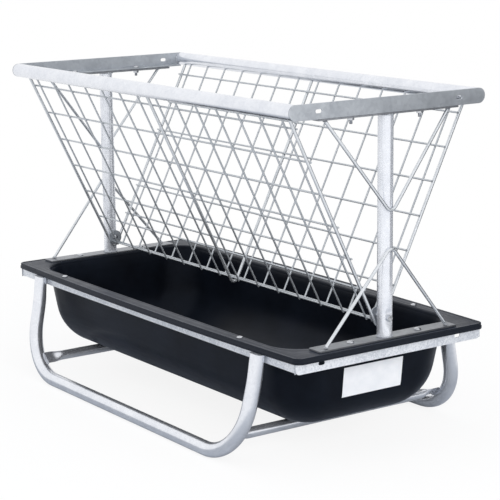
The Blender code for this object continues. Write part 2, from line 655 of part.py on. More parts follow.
def post(name, end):
    """Upright tube of an end stand, pressed flat on its outer face round the basket bolt's nut."""
    bottom, top = FOOT_STRAP_TOP + GAP, TOP_STRAP_UNDERSIDE - GAP
    heights = [bottom] + [BASKET_BOLT_Z + rise for rise in POST_RINGS] + [top]
    rows = {}
    for shell, radius in (("outer", TUBE_RADIUS), ("inner", TUBE_RADIUS - TUBE_WALL)):
        rows[shell] = []
        for z in heights:
            near = 1.3 * (1 - ((z - BASKET_BOLT_Z) / DIMPLE_HALF_HEIGHT) ** 2)
            face = radius - DIMPLE_DEPTH * min(1.0, max(0.0, near))
            loop = []
            for k in range(TUBE_SIDES):
                angle = 2 * pi * k / TUBE_SIDES
                loop.append((end * (POST_X + min(radius * cos(angle), face)), radius * sin(angle), z))
            rows[shell].append(loop)
    made = loft(name, rows["outer"] + list(reversed(rows["inner"])), GALVANISED, ring_shut=True)
    hole = cylinder(f"{name}_hole", (end * (POST_X - 2 * TUBE_RADIUS), 0.0, BASKET_BOLT_Z),
                    (end * (POST_X + 2 * TUBE_RADIUS), 0.0, BASKET_BOLT_Z), STRAP_BOLT_RADIUS + HOLE_PLAY, 12)
    boolean(made, hole, "DIFFERENCE")
    return made


def brace(name, end, foot_z, bend_z, strap_width):
    """Bent rod of an end stand: both ends on a strap, its bend on the outer face of the post."""
    climb = 1 if bend_z > foot_z else -1
    steep = atan2(abs(bend_z - foot_z), BRACE_SPREAD)
    foot_z = foot_z + climb * (GAP + BRACE_RADIUS * cos(steep))
    half = atan2(BRACE_SPREAD, abs(bend_z - foot_z))
    corner_z = bend_z + climb * BRACE_BEND * (1 / sin(half) - 1)
    foot_x = POST_X + strap_width / 2 - BRACE_END_INSET
    bend_x = POST_FACE + BRACE_CLEAR + BRACE_RADIUS
    corners = [mirrored(end, (foot_x, -BRACE_SPREAD, foot_z)), mirrored(end, (bend_x, 0.0, corner_z)),
               mirrored(end, (foot_x, BRACE_SPREAD, foot_z))]
    return rod(name, filleted(corners, BRACE_BEND, 4), BRACE_RADIUS, GALVANISED)


def rack_line():
    """The slope of the hay rack: where its two sides would meet, and the direction up one side."""
    seat = Vector((0.0, TUBE_Y - RACK_SEAT_INSET,
                   RING_HEIGHT - sqrt(TUBE_RADIUS ** 2 - RACK_SEAT_INSET ** 2)))
    bottom = RIM_HEIGHT + RACK_BOTTOM_RISE
    half = atan2(seat.y, seat.z - bottom)
    for _ in range(6):
        corner = Vector((0.0, 0.0, bottom - RACK_BEND * (1 / sin(half) - 1)))
        half = atan2(seat.y, seat.z - corner.z)
    return corner, (seat - corner).normalized()


def rack_end(start, up, radius):
    """Where a rod or wire that runs up the rack from start stops against a long tube."""
    axis = Vector((0.0, TUBE_Y, RING_HEIGHT))
    foot = start + up * (axis - start).dot(up)
    aside = max(0.0, (axis - foot).length - radius)
    reach = TUBE_RADIUS + GAP
    return foot - up * sqrt(max(0.0, reach ** 2 - aside ** 2))


def v_rod(name, x):
    """Heavy rod of the hay rack, bent to a V."""
    corner, up = rack_line()
    tip = rack_end(corner, up, ROD_RADIUS)
    corners = [(x, -tip.y, tip.z), (x, corner.y, corner.z), (x, tip.y, tip.z)]
    return rod(name, filleted(corners, RACK_BEND, 6), ROD_RADIUS, BRIGHT_ZINC)


def six_sided(start, end, inward, radius):
    """A straight wire of six sides, one flat facing inward."""
    along = (end - start).normalized()
    aside = along.cross(inward).normalized()
    corner = radius / cos(pi / 6)
    loops = []
    for centre in (start, end):
        loops.append([centre + inward * (corner * cos(pi / 6 + pi / 3 * k)) + aside * (corner * sin(pi / 6 + pi / 3 * k))
                      for k in range(6)])
    return loops


def wires(name, spans, inward, radius, collection=None):
    """Straight wires side by side in one mesh."""
    bm = bmesh.new()
    for start, end in spans:
        first, last = [[bm.verts.new(point) for point in loop] for loop in six_sided(start, end, inward, radius)]
        for k in range(6):
            after = (k + 1) % 6
            bm.faces.new((first[k], first[after], last[after], last[k]))
        bm.faces.new(first)
        bm.faces.new(last)
    return finish_bmesh(bm, name, BRIGHT_ZINC, collection)


def wire_panel(name, side):
    """One side of the hay rack: inclined wires with the long wires welded across their inner faces."""
    corner, up = rack_line()
    corner = Vector((0.0, side * corner.y, corner.z))
    up = Vector((0.0, side * up.y, up.z))
    inward = Vector((0.0, -side * abs(up.z), abs(up.y)))
    long_offset = ROD_RADIUS + GAP + WIRE_RADIUS
    across_offset = long_offset - 2 * WIRE_RADIUS + WELD_SINK
    base = corner + inward * long_offset
    first_run = (RIM_HEIGHT + LOWEST_WIRE_RISE - base.z) / up.z
    low = corner + inward * across_offset + up * (first_run - WIRE_RADIUS)
    mirror_low = Vector((0.0, side * low.y, low.z))
    mirror_up = Vector((0.0, side * up.y, up.z))
    top = rack_end(mirror_low, mirror_up, WIRE_RADIUS / cos(pi / 6))
    high = Vector((0.0, side * top.y, top.z))
    across_count = int(2 * END_ROD_X / WIRE_PITCH) + 1
    along_count = int(((high - low).length - 3 * WIRE_RADIUS) / WIRE_PITCH) + 1
    inclined = []
    for k in range(across_count):
        x = Vector(((k - (across_count - 1) / 2) * WIRE_PITCH, 0.0, 0.0))
        inclined.append((low + x, high + x))
    along = []
    for k in range(along_count):
        reach = END_ROD_X + WIRE_OVERHANG if k else CLAMP_FACE - CLAMP_THICKNESS - GAP
        place = base + up * (first_run + k * WIRE_PITCH)
        along.append((place - Vector((reach, 0.0, 0.0)), place + Vector((reach, 0.0, 0.0))))
    made = wires(name, inclined, inward, WIRE_RADIUS)
    boolean(made, wires(f"{name}_long", along, inward, WIRE_RADIUS, CUTTERS), "UNION")
    return made


def domed_bolt(name, head_seat, direction, radius, head, dome, length, finish=ZINC_PLATED):
    """Round-headed bolt: the head's flat side is at head_seat and the shank runs along direction."""
    outline = [(head * sin(pi / 2 * share), dome * cos(pi / 2 * share)) for share in (0.0, 0.4, 0.75, 1.0)]
    outline += [(radius, 0.0), (radius, -length), (0.0, -length)]
    mesh = bpy.data.meshes.new(name)
    mesh.from_pydata([(x, 0.0, z) for x, z in outline], [(k, k + 1) for k in range(len(outline) - 1)], [])
    mesh.materials.append(finish)
    made = bpy.data.objects.new(name, mesh)
    PARTS.objects.link(made)
    turned = made.modifiers.new("turned", "SCREW")
    turned.steps = 10
    turned.render_steps = 10
    turned.use_merge_vertices = True
    turned.merge_threshold = 0.00001
    turned.use_smooth_shade = True
    made.location = head_seat
    made.rotation_mode = "QUATERNION"
    made.rotation_quaternion = (-Vector(direction)).to_track_quat("Z", "Y")
    return made


def hex_nut(name, seat, direction, across, thickness, bolt_radius):
    """Hexagon nut whose near face is at seat and whose body runs along direction."""
    direction = Vector(direction).normalized()
    centre = Vector(seat) + direction * (thickness / 2)
    place = Matrix.Translation(centre) @ direction.to_track_quat("Z", "Y").to_matrix().to_4x4()
    outline = circle((0.0, 0.0), across / 2 / cos(pi / 6), 6)
    hole = circle((0.0, 0.0), bolt_radius + GAP, 12)
    return plate(name, outline, [hole], thickness, place, ZINC_PLATED)


def strap_fasteners(end, end_name, level, head_z, nut_z):
    """The two bolts and nuts that hold a strap down, one on each side of the post."""
    for side, side_name in ((-1, "front"), (1, "back")):
        x, y = end * POST_X, side * STRAP_BOLT_SPREAD
        length = head_z - nut_z + STRAP_NUT_THICKNESS + STRAP_BOLT_TAIL
        domed_bolt(f"{level}_bolt_{end_name}_{side_name}", (x, y, head_z), (0, 0, -1),
                   STRAP_BOLT_RADIUS, STRAP_BOLT_HEAD, STRAP_BOLT_DOME, length)
        hex_nut(f"{level}_nut_{end_name}_{side_name}", (x, y, nut_z), (0, 0, -1),
                STRAP_NUT_ACROSS, STRAP_NUT_THICKNESS, STRAP_BOLT_RADIUS)


def rim_fasteners(end, end_name, side, side_name):
    """Bolt and nut that hold the trough's rim to a long rail."""
    x, y = end * RIM_BOLT_X, side * RIM_BOLT_Y
    head_z, nut_z = RIM_HEIGHT + GAP, FLANGE_UNDERSIDE - GAP
    domed_bolt(f"rim_bolt_{end_name}_{side_name}", (x, y, head_z), (0, 0, -1), RIM_BOLT_RADIUS,
               RIM_BOLT_HEAD, RIM_BOLT_DOME, head_z - nut_z + RIM_NUT_THICKNESS + RIM_BOLT_TAIL)
    hex_nut(f"rim_nut_{end_name}_{side_name}", (x, y, nut_z), (0, 0, -1),
            RIM_NUT_ACROSS, RIM_NUT_THICKNESS, RIM_BOLT_RADIUS)


def basket_fasteners(end, end_name):
    """Clamp plate over the V rod, its bolt through the post, and the nut in the post's dimple."""
    plate_x = CLAMP_FACE - CLAMP_THICKNESS / 2
    head_x = CLAMP_FACE - CLAMP_THICKNESS - GAP
    nut_x = POST_FACE - DIMPLE_DEPTH + GAP
    plate(f"clamp_plate_{end_name}", circle((0.0, 0.0), CLAMP_RADIUS, 20),
          [circle((0.0, 0.0), STRAP_BOLT_RADIUS + HOLE_PLAY, 12)], CLAMP_THICKNESS,
          upright_plane(end, end * plate_x) @ Matrix.Translation((0.0, BASKET_BOLT_Z, 0.0)), GALVANISED)
    domed_bolt(f"basket_bolt_{end_name}", (end * head_x, 0.0, BASKET_BOLT_Z), (end, 0, 0), STRAP_BOLT_RADIUS,
               BASKET_BOLT_HEAD, STRAP_BOLT_DOME, nut_x - head_x + STRAP_NUT_THICKNESS + GAP)
    hex_nut(f"basket_nut_{end_name}", (end * nut_x, 0.0, BASKET_BOLT_Z), (end, 0, 0),
            STRAP_NUT_ACROSS, STRAP_NUT_THICKNESS, STRAP_BOLT_RADIUS)


def wall_face(down):
    """Outside of the trough's end wall at a depth below the rim."""
    levels = wall_levels(0.0)
    for (above, x_above, *_), (below, x_below, *_) in zip(levels, levels[1:]):
        if down <= below:
            break
    return x_above + (x_below - x_above) * (down - above) / (below - above)


def blank_decal():
    """Thin plain decal that follows the right end wall."""
    bottom = DECAL_TOP_DROP + DECAL_HEIGHT
    downs = [DECAL_TOP_DROP] + [level[0] for level in wall_levels(0.0) if DECAL_TOP_DROP < level[0] < bottom]
    downs.append(bottom)
    back = [(wall_face(down) + GAP, RIM_HEIGHT - down) for down in downs]
    front = [(x + DECAL_THICKNESS, z) for x, z in back]
    edge = back + list(reversed(front))
    sides = (DECAL_SHIFT - DECAL_HALF_WIDTH, DECAL_SHIFT + DECAL_HALF_WIDTH)
    return loft("blank_decal", [[(x, y, z) for x, z in edge] for y in sides], DECAL_WHITE)


def build():
    """Make every piece."""
    long_rail("rail_front", -1)
    long_rail("rail_back", 1)
    skid("skid_front", -1)
    skid("skid_back", 1)
    trough()
    top_tube("top_tube_front", -1)
    top_tube("top_tube_back", 1)
    wire_panel("wire_panel_front", -1)
    wire_panel("wire_panel_back", 1)
    v_rod("v_rod_middle", MIDDLE_ROD_X)
    blank_decal()
    for end, end_name in ((-1, "left"), (1, "right")):
        end_rail(f"rail_{end_name}_end", end)
        cross_tube(f"cross_tube_{end_name}", end)
        top_angle(f"top_angle_{end_name}", end)
        strap(f"foot_strap_{end_name}", end, FOOT_STRAP_WIDTH, FOOT_STRAP_TOP - STRAP_THICKNESS / 2)
        strap(f"top_strap_{end_name}", end, TOP_STRAP_WIDTH, TOP_STRAP_TOP - STRAP_THICKNESS / 2)
        post(f"post_{end_name}", end)
        brace(f"lower_brace_{end_name}", end, FOOT_STRAP_TOP, RIM_HEIGHT + LOWER_BRACE_RISE, FOOT_STRAP_WIDTH)
        brace(f"upper_brace_{end_name}", end, TOP_STRAP_UNDERSIDE, RING_HEIGHT - UPPER_BRACE_DROP, TOP_STRAP_WIDTH)
        v_rod(f"v_rod_{end_name}", end * END_ROD_X)
        basket_fasteners(end, end_name)
        strap_fasteners(end, end_name, "foot", FOOT_STRAP_TOP + GAP, FLANGE_UNDERSIDE - GAP)
        strap_fasteners(end, end_name, "top", ANGLE_BOTTOM + ANGLE_THICKNESS + GAP, TOP_STRAP_UNDERSIDE - GAP)
        for side, side_name in ((-1, "front"), (1, "back")):
            rim_fasteners(end, end_name, side, side_name)


build()
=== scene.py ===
"""Looks of a sheep bunk feeder: galvanised frame, black moulded trough and welded wire hay rack."""
import random
from math import atan2, cos, pi, radians, sin, sqrt, tan

import bmesh
import bpy
from mathutils import Matrix, Vector


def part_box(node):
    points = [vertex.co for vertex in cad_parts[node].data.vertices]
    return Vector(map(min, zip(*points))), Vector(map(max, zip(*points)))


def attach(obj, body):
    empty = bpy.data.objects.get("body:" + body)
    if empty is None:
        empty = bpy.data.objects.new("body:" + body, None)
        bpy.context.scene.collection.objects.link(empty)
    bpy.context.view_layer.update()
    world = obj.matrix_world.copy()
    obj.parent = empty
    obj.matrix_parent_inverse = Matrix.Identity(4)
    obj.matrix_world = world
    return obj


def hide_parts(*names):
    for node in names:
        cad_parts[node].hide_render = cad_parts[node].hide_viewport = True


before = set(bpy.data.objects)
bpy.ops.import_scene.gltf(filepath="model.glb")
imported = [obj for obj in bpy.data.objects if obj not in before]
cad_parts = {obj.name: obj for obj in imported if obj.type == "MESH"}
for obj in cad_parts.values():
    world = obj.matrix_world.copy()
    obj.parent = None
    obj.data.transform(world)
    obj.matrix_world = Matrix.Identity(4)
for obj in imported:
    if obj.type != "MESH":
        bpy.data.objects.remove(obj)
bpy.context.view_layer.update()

# Sizes in metres, as the solids have them
GAP = 0.0003
TUBE_RADIUS = 0.0211
TUBE_WALL = 0.0026
TUBE_RADII = (TUBE_RADIUS, TUBE_RADIUS - TUBE_WALL)
ROD_RADIUS = 0.0047
WIRE_RADIUS = 0.0028
WIRE_PITCH = 0.1016

TROUGH_DEPTH = 0.2484
TROUGH_WALL = 0.0045
TROUGH_CORNER = 0.1050
FLOOR_CORNER = 0.1306
END_FLOOR_RADIUS = 0.1000
SIDE_FLOOR_RADIUS = 0.1235
END_DRAFT = 0.0292
SIDE_DRAFT = 0.0244
END_RIM_WIDTH = 0.0750
SIDE_RIM_WIDTH = 0.0338
RIM_CORNER = 0.0250
RIM_BOW = 0.0180
RIM_SHOULDER = 0.0100
RIM_BEAD_WIDTH = 0.0060
RIM_BEAD_HEIGHT = 0.0012
LIP_DEPTH = 0.0165
LIP_STEP_DEPTH = 0.0085
LIP_STEP = 0.0018
LIP_EDGE = 0.0022

RAIL_THICKNESS = 0.0032
END_RAIL_CORNER = 0.0120
FRAME_SLOT_INSET = 0.0850
FRAME_SLOT_DROP = 0.0250
SLOT_LENGTH = 0.0220
SLOT_WIDTH = 0.0105
ANGLE_THICKNESS = 0.0048

SKID_INSET = 0.1834
SKID_LEAN = radians(12.47)
SKID_RAKE = radians(2.64)
SKID_TOP_OUT = 0.0005
SKID_BEND = 0.1665

CROSS_RADIUS = 0.0152
CROSS_WALL = 0.0025
CROSS_TURN = radians(37.2)
CRIMP_LENGTH = 0.0200
CRIMP_TAPER = 0.0420
CRIMP_THICKNESS = 0.0070
CRIMP_WIDTH = 0.0440

DIMPLE_DEPTH = 0.0045
DIMPLE_HALF_HEIGHT = 0.0260
BRACE_BEND = 0.0180
BRACE_INSET = 0.0300
BRACE_CLEAR = 0.0009
BRACE_END_INSET = 0.0130
RACK_SEAT_INSET = 0.0130
RACK_BOTTOM_RISE = 0.0310
RACK_BEND = 0.0120
LOWEST_WIRE_RISE = 0.0446
WIRE_OVERHANG = 0.0035
WELD_SINK = 0.0008
BASKET_BOLT_RISE = 0.0580
DECAL_THICKNESS = 0.0006

TOP_SLOT_INSET = 0.0731
TOP_FLANGE_REACH = 0.0380
TOP_FLANGE_CLEAR = 0.0060
STRAP_CORNER = 0.0040
LOWER_BEND_RISE = 0.2500
UPPER_BEND_DROP = 0.2830
CLAMP_PLATE_RADIUS = 0.0240
CLAMP_PLATE_THICKNESS = 0.0030
# Radius and height of the head, radius of the shank, width across flats and thickness of the nut
FASTENERS = {"rim": (0.0090, 0.0045, 0.0039, 0.0130, 0.0065),
             "foot": (0.0105, 0.0052, 0.0048, 0.0160, 0.0080),
             "top": (0.0105, 0.0052, 0.0048, 0.0160, 0.0080),
             "basket": (0.0084, 0.0052, 0.0048, 0.0160, 0.0080)}

# Angles in degrees from which on an edge is sharp
CREASE, PLATE_CREASE, TROUGH_CREASE, WIRE_CREASE, WELD_CREASE, FASTENER_CREASE = 34, 19, 40, 50, 60, 30
MERGE_DISTANCE = 0.0000005

# Softness that the solids don't have, in metres or as a share
LEG_EDGE = 0.0008
PLATE_EDGE = 0.0005
TOP_ANGLE_EDGE = 0.0006
STRAP_EDGE = 0.0007
RAIL_FLANGE_INSET = 0.0001
TOP_FLANGE_INSET = 0.0002
SLOT_SHIFT = 0.00001
ROD_TIP = 0.82
DIMPLE_SPREAD = 1.25
DIMPLE_SLOPE = 1.3
DIMPLE_EDGE = 0.0015
LEAST_PRESS = 0.00005
LIP_WALL = TROUGH_WALL * 0.8
BEAD_FOOT = 0.0030
BEAD_RISE_SHARE = 0.6
# Insets of the lip's outer face with heights over its step, and with heights over its bottom
STEP_POINTS = ((LIP_STEP, 0.0008), (LIP_STEP * 0.8, 0.0002), (LIP_STEP * 0.3, -0.0003), (0.0, -0.0011))
HEM_POINTS = ((0.0, 0.0008), (0.0004, 0.0001), (0.0011, 0.0), (LIP_WALL, 0.0))

X, Y, Z = Vector((1, 0, 0)), Vector((0, 1, 0)), Vector((0, 0, 1))


def middle(node):
    """Centre of a CAD node's box."""
    low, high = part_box(node)
    return (low + high) / 2


# Places that the solids give
RIM_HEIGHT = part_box("foot_strap_right")[0].z - GAP
RIM_HALF_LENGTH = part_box("trough")[1].x
RIM_HALF_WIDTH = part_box("trough")[1].y - RIM_BOW
TROUGH_HALF_LENGTH = RIM_HALF_LENGTH - END_RIM_WIDTH
TROUGH_HALF_WIDTH = RIM_HALF_WIDTH - SIDE_RIM_WIDTH
RIM_UNDERSIDE = RIM_HEIGHT - TROUGH_WALL
RAIL_TOP = RIM_UNDERSIDE - GAP
LIP_BOTTOM = RIM_HEIGHT + RIM_BEAD_HEIGHT - LIP_DEPTH
END_RAIL_X, LONG_RAIL_Y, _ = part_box("rail_right_end")[1]
RING_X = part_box("top_angle_right")[1].x
_, TUBE_Y, RING_HEIGHT = middle("top_tube_back")
ANGLE_BOTTOM = RING_HEIGHT - TUBE_RADIUS
POST_X = middle("foot_strap_right").x
END_ROD_X = POST_X - TUBE_RADIUS - GAP - ROD_RADIUS
CLAMP_FACE = END_ROD_X - ROD_RADIUS - GAP
BASKET_BOLT_Z = RIM_HEIGHT + BASKET_BOLT_RISE
ENDS = ((-1, "left"), (1, "right"))
SIDES = ((-1, "front"), (1, "back"))
BODY = "root"


# Nodes and colours

def linear(text):
    """Linear colour from an sRGB hex value."""
    channels = [int(text[k:k + 2], 16) / 255 for k in (1, 3, 5)]
    return (*[c / 12.92 if c <= 0.04045 else ((c + 0.055) / 1.055) ** 2.4 for c in channels], 1.0)


def feed(tree, made, **links):
    """Set inputs or link them; links name them with spaces as underscores, or as in3 for a number."""
    for name, value in links.items():
        key = int(name[2:]) if name[:2] == "in" and name[2:].isdigit() else name.replace("_", " ")
        if isinstance(value, bpy.types.Node):
            value = value.outputs[0]
        if isinstance(value, bpy.types.NodeSocket):
            tree.links.new(value, made.inputs[key])
        else:
            made.inputs[key].default_value = value


def add(tree, kind, settings=None, **links):
    """Add a node; a kind that doesn't hold the word Node gets the tree's own prefix."""
    made = tree.nodes.new(kind if "Node" in kind else tree.bl_idname.removesuffix("Tree") + kind)
    for name, value in (settings or {}).items():
        setattr(made, name, value)
    feed(tree, made, **links)
    return made


def maths(tree, operation, *values, kind="Math"):
    return add(tree, kind, {"operation": operation}, **{f"in{k}": value for k, value in enumerate(values)})


def noise(tree, place, size, detail, **links):
    """Noise with features as large as a size in metres."""
    return add(tree, "TexNoise", Vector=place, Scale=per_metre(size), Detail=detail, **links)


def ranged(tree, value, first, last, low, high):
    """A value that goes from low to high while another goes from first to last."""
    return add(tree, "MapRange", Value=value, From_Min=first, From_Max=last, To_Min=low, To_Max=high)


def bump(tree, height, strength, distance, **links):
    return add(tree, "Bump", Height=height, Strength=strength, Distance=distance, **links)


def ramp(tree, factor, stops):
    """Colour ramp from a factor; stops are (position, colour)."""
    made = add(tree, "ValToRGB", Fac=factor)
    elements = made.color_ramp.elements
    while len(elements) < len(stops):
        elements.new(0.5)
    for element, (position, colour) in zip(elements, stops):
        element.position = position
        element.color = colour
    return made


def level(value):
    """A grey of a given linear value, for ramps that drive a number."""
    return (value, value, value, 1.0)


def per_metre(size):
    """Texture scale at which one feature is as large as the given length in metres."""
    return 1.0 / size


def new_material(name):
    made = bpy.data.materials.new(name)
    made.use_nodes = True
    return made, made.node_tree, made.node_tree.nodes["Principled BSDF"]


def object_place(tree):
    return add(tree, "TexCoord").outputs["Object"]


PATCH_SIZE = 0.060
GRAIN_SIZE = 0.0022
GRAIN_SHARE = 0.10
ZINC_BUMP = 0.0012


def zinc(name, pale, dull, spangle, metallic, smooth, rough, relief, contrast=0.10):
    """Galvanised steel: zinc crystals of slightly unlike tone and gloss, dull patches and runs of the dip."""
    made, tree, shader = new_material(name)
    place = object_place(tree)
    crystals = add(tree, "TexVoronoi", Vector=place, Scale=per_metre(spangle))
    tones = add(tree, "SeparateColor", Color=crystals.outputs["Color"]).outputs
    patches = noise(tree, place, PATCH_SIZE, 3.0, Roughness=0.55)
    grain = noise(tree, place, GRAIN_SIZE, 2.0)
    blend = maths(tree, "MULTIPLY_ADD", tones["Red"], contrast * 2, -contrast)
    mixed = maths(tree, "ADD", patches, blend)
    height = maths(tree, "MULTIPLY_ADD", grain, GRAIN_SHARE, patches)
    feed(tree, shader, Base_Color=ramp(tree, mixed, [(0.25, linear(dull)), (0.75, linear(pale))]),
         Roughness=maths(tree, "MULTIPLY_ADD", tones["Green"], rough - smooth, smooth),
         Metallic=metallic, Normal=bump(tree, height, relief, ZINC_BUMP))
    return made


FROM_EDGE = "from_edge"
RIM_LINE_PITCH, RIM_LINE_DEPTH = 0.0060, 0.0030
CLOUD_SIZE = 0.16
SCUFF_SIZE, SCUFF_STRETCH = 0.625, (7.0, 7.0, 60.0)
PEEL_SIZE, PEEL_BUMP = 0.0028, 0.0005
# Distances from the rim's outer edge over which a painted reflection, a lighter tone on the rim's edge and
# lip, fades out
EDGE_REFLECTION_FROM, EDGE_REFLECTION_TO = 0.008, 0.030


def moulded_plastic(name):
    """Black polyethylene, rotationally moulded: almost black, satin, with a faint orange peel and scuffs, and
    a painted reflection that lightens the rim's outer edge and its lip.
    """
    made, tree, shader = new_material(name)
    place = object_place(tree)
    cloud = noise(tree, place, CLOUD_SIZE, 4.0, Roughness=0.62)
    stretched = add(tree, "Mapping", Vector=place, Scale=SCUFF_STRETCH)
    scuffs = noise(tree, stretched, SCUFF_SIZE, 5.0, Roughness=0.7)
    peel = noise(tree, place, PEEL_SIZE, 1.0)
    tone = ramp(tree, cloud, [(0.35, linear("#090B10")), (0.60, linear("#10141B")),
                              (0.80, linear("#171B24"))])
    from_edge = add(tree, "Attribute", {"attribute_name": FROM_EDGE}).outputs["Fac"]
    # Painted reflection: the rim's outer edge and the lip are mixed towards a lighter tone near the edge,
    # standing in for the floor mirrored there
    edge_reflection = ranged(tree, from_edge, EDGE_REFLECTION_FROM, EDGE_REFLECTION_TO, 1.0, 0.0)
    reflected_tone = add(tree, "Mix", {"data_type": "RGBA"}, in0=edge_reflection, in6=tone, in7=linear("#1D2026"))
    scaled = maths(tree, "MULTIPLY", from_edge, per_metre(RIM_LINE_PITCH))
    lines = add(tree, "TexNoise", {"noise_dimensions": "1D"}, W=scaled, Scale=1.0, Detail=2.0)
    skin = bump(tree, peel, 0.10, PEEL_BUMP)
    feed(tree, shader, Base_Color=reflected_tone.outputs[2],
         Roughness=ramp(tree, scuffs, [(0.30, level(0.29)), (0.70, level(0.40))]), IOR=1.22,
         Specular_Tint=linear("#DDE8FF"), Sheen_Weight=0.045, Sheen_Roughness=0.45,
         Sheen_Tint=linear("#9DB8F0"), Normal=bump(tree, lines, 1.0, RIM_LINE_DEPTH, Normal=skin))
    return made


FILM_WAVE, FILM_BUMP = 0.030, 0.0006


def vinyl(name):
    """Plain white vinyl film: even, slightly glossy, faintly uneven where it lies on the moulded wall."""
    made, tree, shader = new_material(name)
    wave = noise(tree, object_place(tree), FILM_WAVE, 2.0)
    feed(tree, shader, Base_Color=ramp(tree, wave, [(0.3, linear("#EDEEF0")), (0.7, linear("#F6F6F7"))]),
         Roughness=ramp(tree, wave, [(0.3, level(0.34)), (0.7, level(0.42))]),
         Normal=bump(tree, wave, 0.15, FILM_BUMP))
    return made


# Each zinc finish has a pale and a dull tone, the size of a crystal, the metallic share, the least and the
# most roughness, the relief and, where it isn't the usual one, the contrast of the crystals

# Hot-dip galvanised tube: pale blue grey and bright, crystals about 7 mm across
DIPPED_TUBE = zinc("hot_dip_galvanised_tube", "#F1F3F8", "#E2E5EC", 0.0070, 0.84, 0.21, 0.25, 0.05)
# The same dip on the posts, a little duller
DIPPED_POST = zinc("hot_dip_galvanised_post", "#F1F3F8", "#E2E5EC", 0.0070, 0.62, 0.24, 0.28, 0.05)
# The same dip on the base frame's angle, where small crystals show as a speckle of about 4 mm
DIPPED_ANGLE = zinc("hot_dip_galvanised_angle", "#F0F2F6", "#D2D6DD", 0.0042, 0.45, 0.36, 0.50, 0.20, 0.28)
# Galvanised strip of the top ring's ends and the clamp plates: flatter, greyer and duller
STRIP = zinc("galvanised_strip", "#C8CDD3", "#AEB3BA", 0.0100, 0.85, 0.36, 0.42, 0.05)
# The same strip on the flat bars at both ends of the posts, in a darker grey
BAR = zinc("darker_galvanised_bar", "#9B9EA3", "#878A90", 0.0100, 0.85, 0.36, 0.42, 0.05)
# Electro-galvanised wire: fine, even and silvery
WIRE = zinc("bright_galvanised_wire", "#C9CDD2", "#B9BEC3", 0.0060, 0.70, 0.24, 0.30, 0.02)
# The same finish on the heavier rods of the braces and the rack, which are glossier
ROD = zinc("bright_galvanised_rod", "#E2E5E9", "#D2D6DA", 0.0060, 0.76, 0.15, 0.20, 0.02)
# Zinc plated fasteners: small and bright
PLATED = zinc("zinc_plated_steel", "#D8DADF", "#C2C5CA", 0.0050, 1.00, 0.20, 0.26, 0.05)
# Weld metal under the zinc: rougher and duller than the tube
WELD = zinc("galvanised_weld", "#CDD0D6", "#A4A8AF", 0.0035, 0.70, 0.38, 0.52, 0.40, 0.20)
PLASTIC = moulded_plastic("moulded_black_polyethylene")
VINYL = vinyl("plain_white_vinyl")


# Meshes

def loft(rows, shut=False):
    """Skin closed rows of points; returns points and faces."""
    count = len(rows[0])
    points = [Vector(point) for row in rows for point in row]
    faces = []
    pairs = [(k, k + 1) for k in range(len(rows) - 1)]
    if shut:
        pairs.append((len(rows) - 1, 0))
    for first, second in pairs:
        here, there = first * count, second * count
        for k in range(count):
            after = (k + 1) % count
            faces.append((here + k, here + after, there + after, there + k))
    if not shut:
        faces.append(tuple(range(count)))
        faces.append(tuple((len(rows) - 1) * count + k for k in range(count)))
    return points, faces


def tube(outer, inner):
    """Open tube from the rows of its outer and its inner face."""
    return loft(outer + inner[::-1], shut=True)


def shell_mesh(name, shells):
    """One mesh from several closed shells, each with its faces outwards."""
    bm = bmesh.new()
    for points, faces in shells:
        made = [bm.verts.new(point) for point in points]
        for face in faces:
            bm.faces.new([made[k] for k in face])
    bmesh.ops.remove_doubles(bm, verts=bm.verts, dist=MERGE_DISTANCE)
    bmesh.ops.recalc_face_normals(bm, faces=bm.faces)
    mesh = bpy.data.meshes.new(name)
    bm.to_mesh(mesh)
    bm.free()
    return mesh


def put(name, data):
    """New object in the scene."""
    made = bpy.data.objects.new(name, data)
    bpy.context.scene.collection.objects.link(made)
    return made


def baked_mesh(made):
    """Plain mesh of a curve or of an object with node trees; the object is removed."""
    bpy.context.view_layer.update()
    mesh = bpy.data.meshes.new_from_object(made.evaluated_get(bpy.context.evaluated_depsgraph_get()))
    bpy.data.objects.remove(made, do_unlink=True)
    mesh.name = "baked"
    return mesh


def declare(name, mesh, finish, stands_for=(), crease=CREASE):
    """Put a finished mesh into the scene, riding on the frame, in place of its CAD nodes."""
    mesh.materials.clear()
    mesh.materials.append(finish)
    mesh.shade_smooth()
    mesh.set_sharp_from_angle(angle=radians(crease))
    made = put(name, mesh)
    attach(made, BODY)
    if stands_for:
        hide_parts(*stands_for)
    return made


def piece(name, shells, finish, stands_for=(), crease=CREASE):
    return declare(name, shell_mesh(name, shells), finish, stands_for, crease)


ALMOST_ONE = 0.999


def filleted(corners, radius, steps):
    """Points through the corners, with an arc in place of each inner corner."""
    corners = [Vector(corner) for corner in corners]
    points = [corners[0]]
    for before, corner, after in zip(corners, corners[1:], corners[2:]):
        back, on = (before - corner).normalized(), (after - corner).normalized()
        half = back.angle(on) / 2
        centre = corner + (back + on).normalized() * (radius / sin(half))
        first = corner + back * (radius / tan(half)) - centre
        last = corner + on * (radius / tan(half)) - centre
        for k in range(steps + 1):
            points.append(centre + first.slerp(last, k / steps) * radius)
    points.append(corners[-1])
    return points


def divided(points, step):
    """The same path with no stretch between points longer than a step."""
    made = [Vector(points[0])]
    for start, end in zip(points, points[1:]):
        count = max(1, int((end - start).length / step + ALMOST_ONE))
        made += [start + (end - start) * (k / count) for k in range(1, count + 1)]
    return made


def path_frames(points, across):
    """For each point of a flat bent path: the point, the plane's normal, the direction aside, and along."""
    made = []
    for k, point in enumerate(points):
        along = (points[min(k + 1, len(points) - 1)] - points[max(k - 1, 0)]).normalized()
        made.append((point, across, along.cross(across).normalized(), along))
    return made


def arc(x, y, radius, start, turn, steps):
    """Points in a plane, from the angle start on through the angle turn."""
    angles = [start + turn * k / steps for k in range(steps + 1)]
    return [(x + radius * cos(angle), y + radius * sin(angle)) for angle in angles]


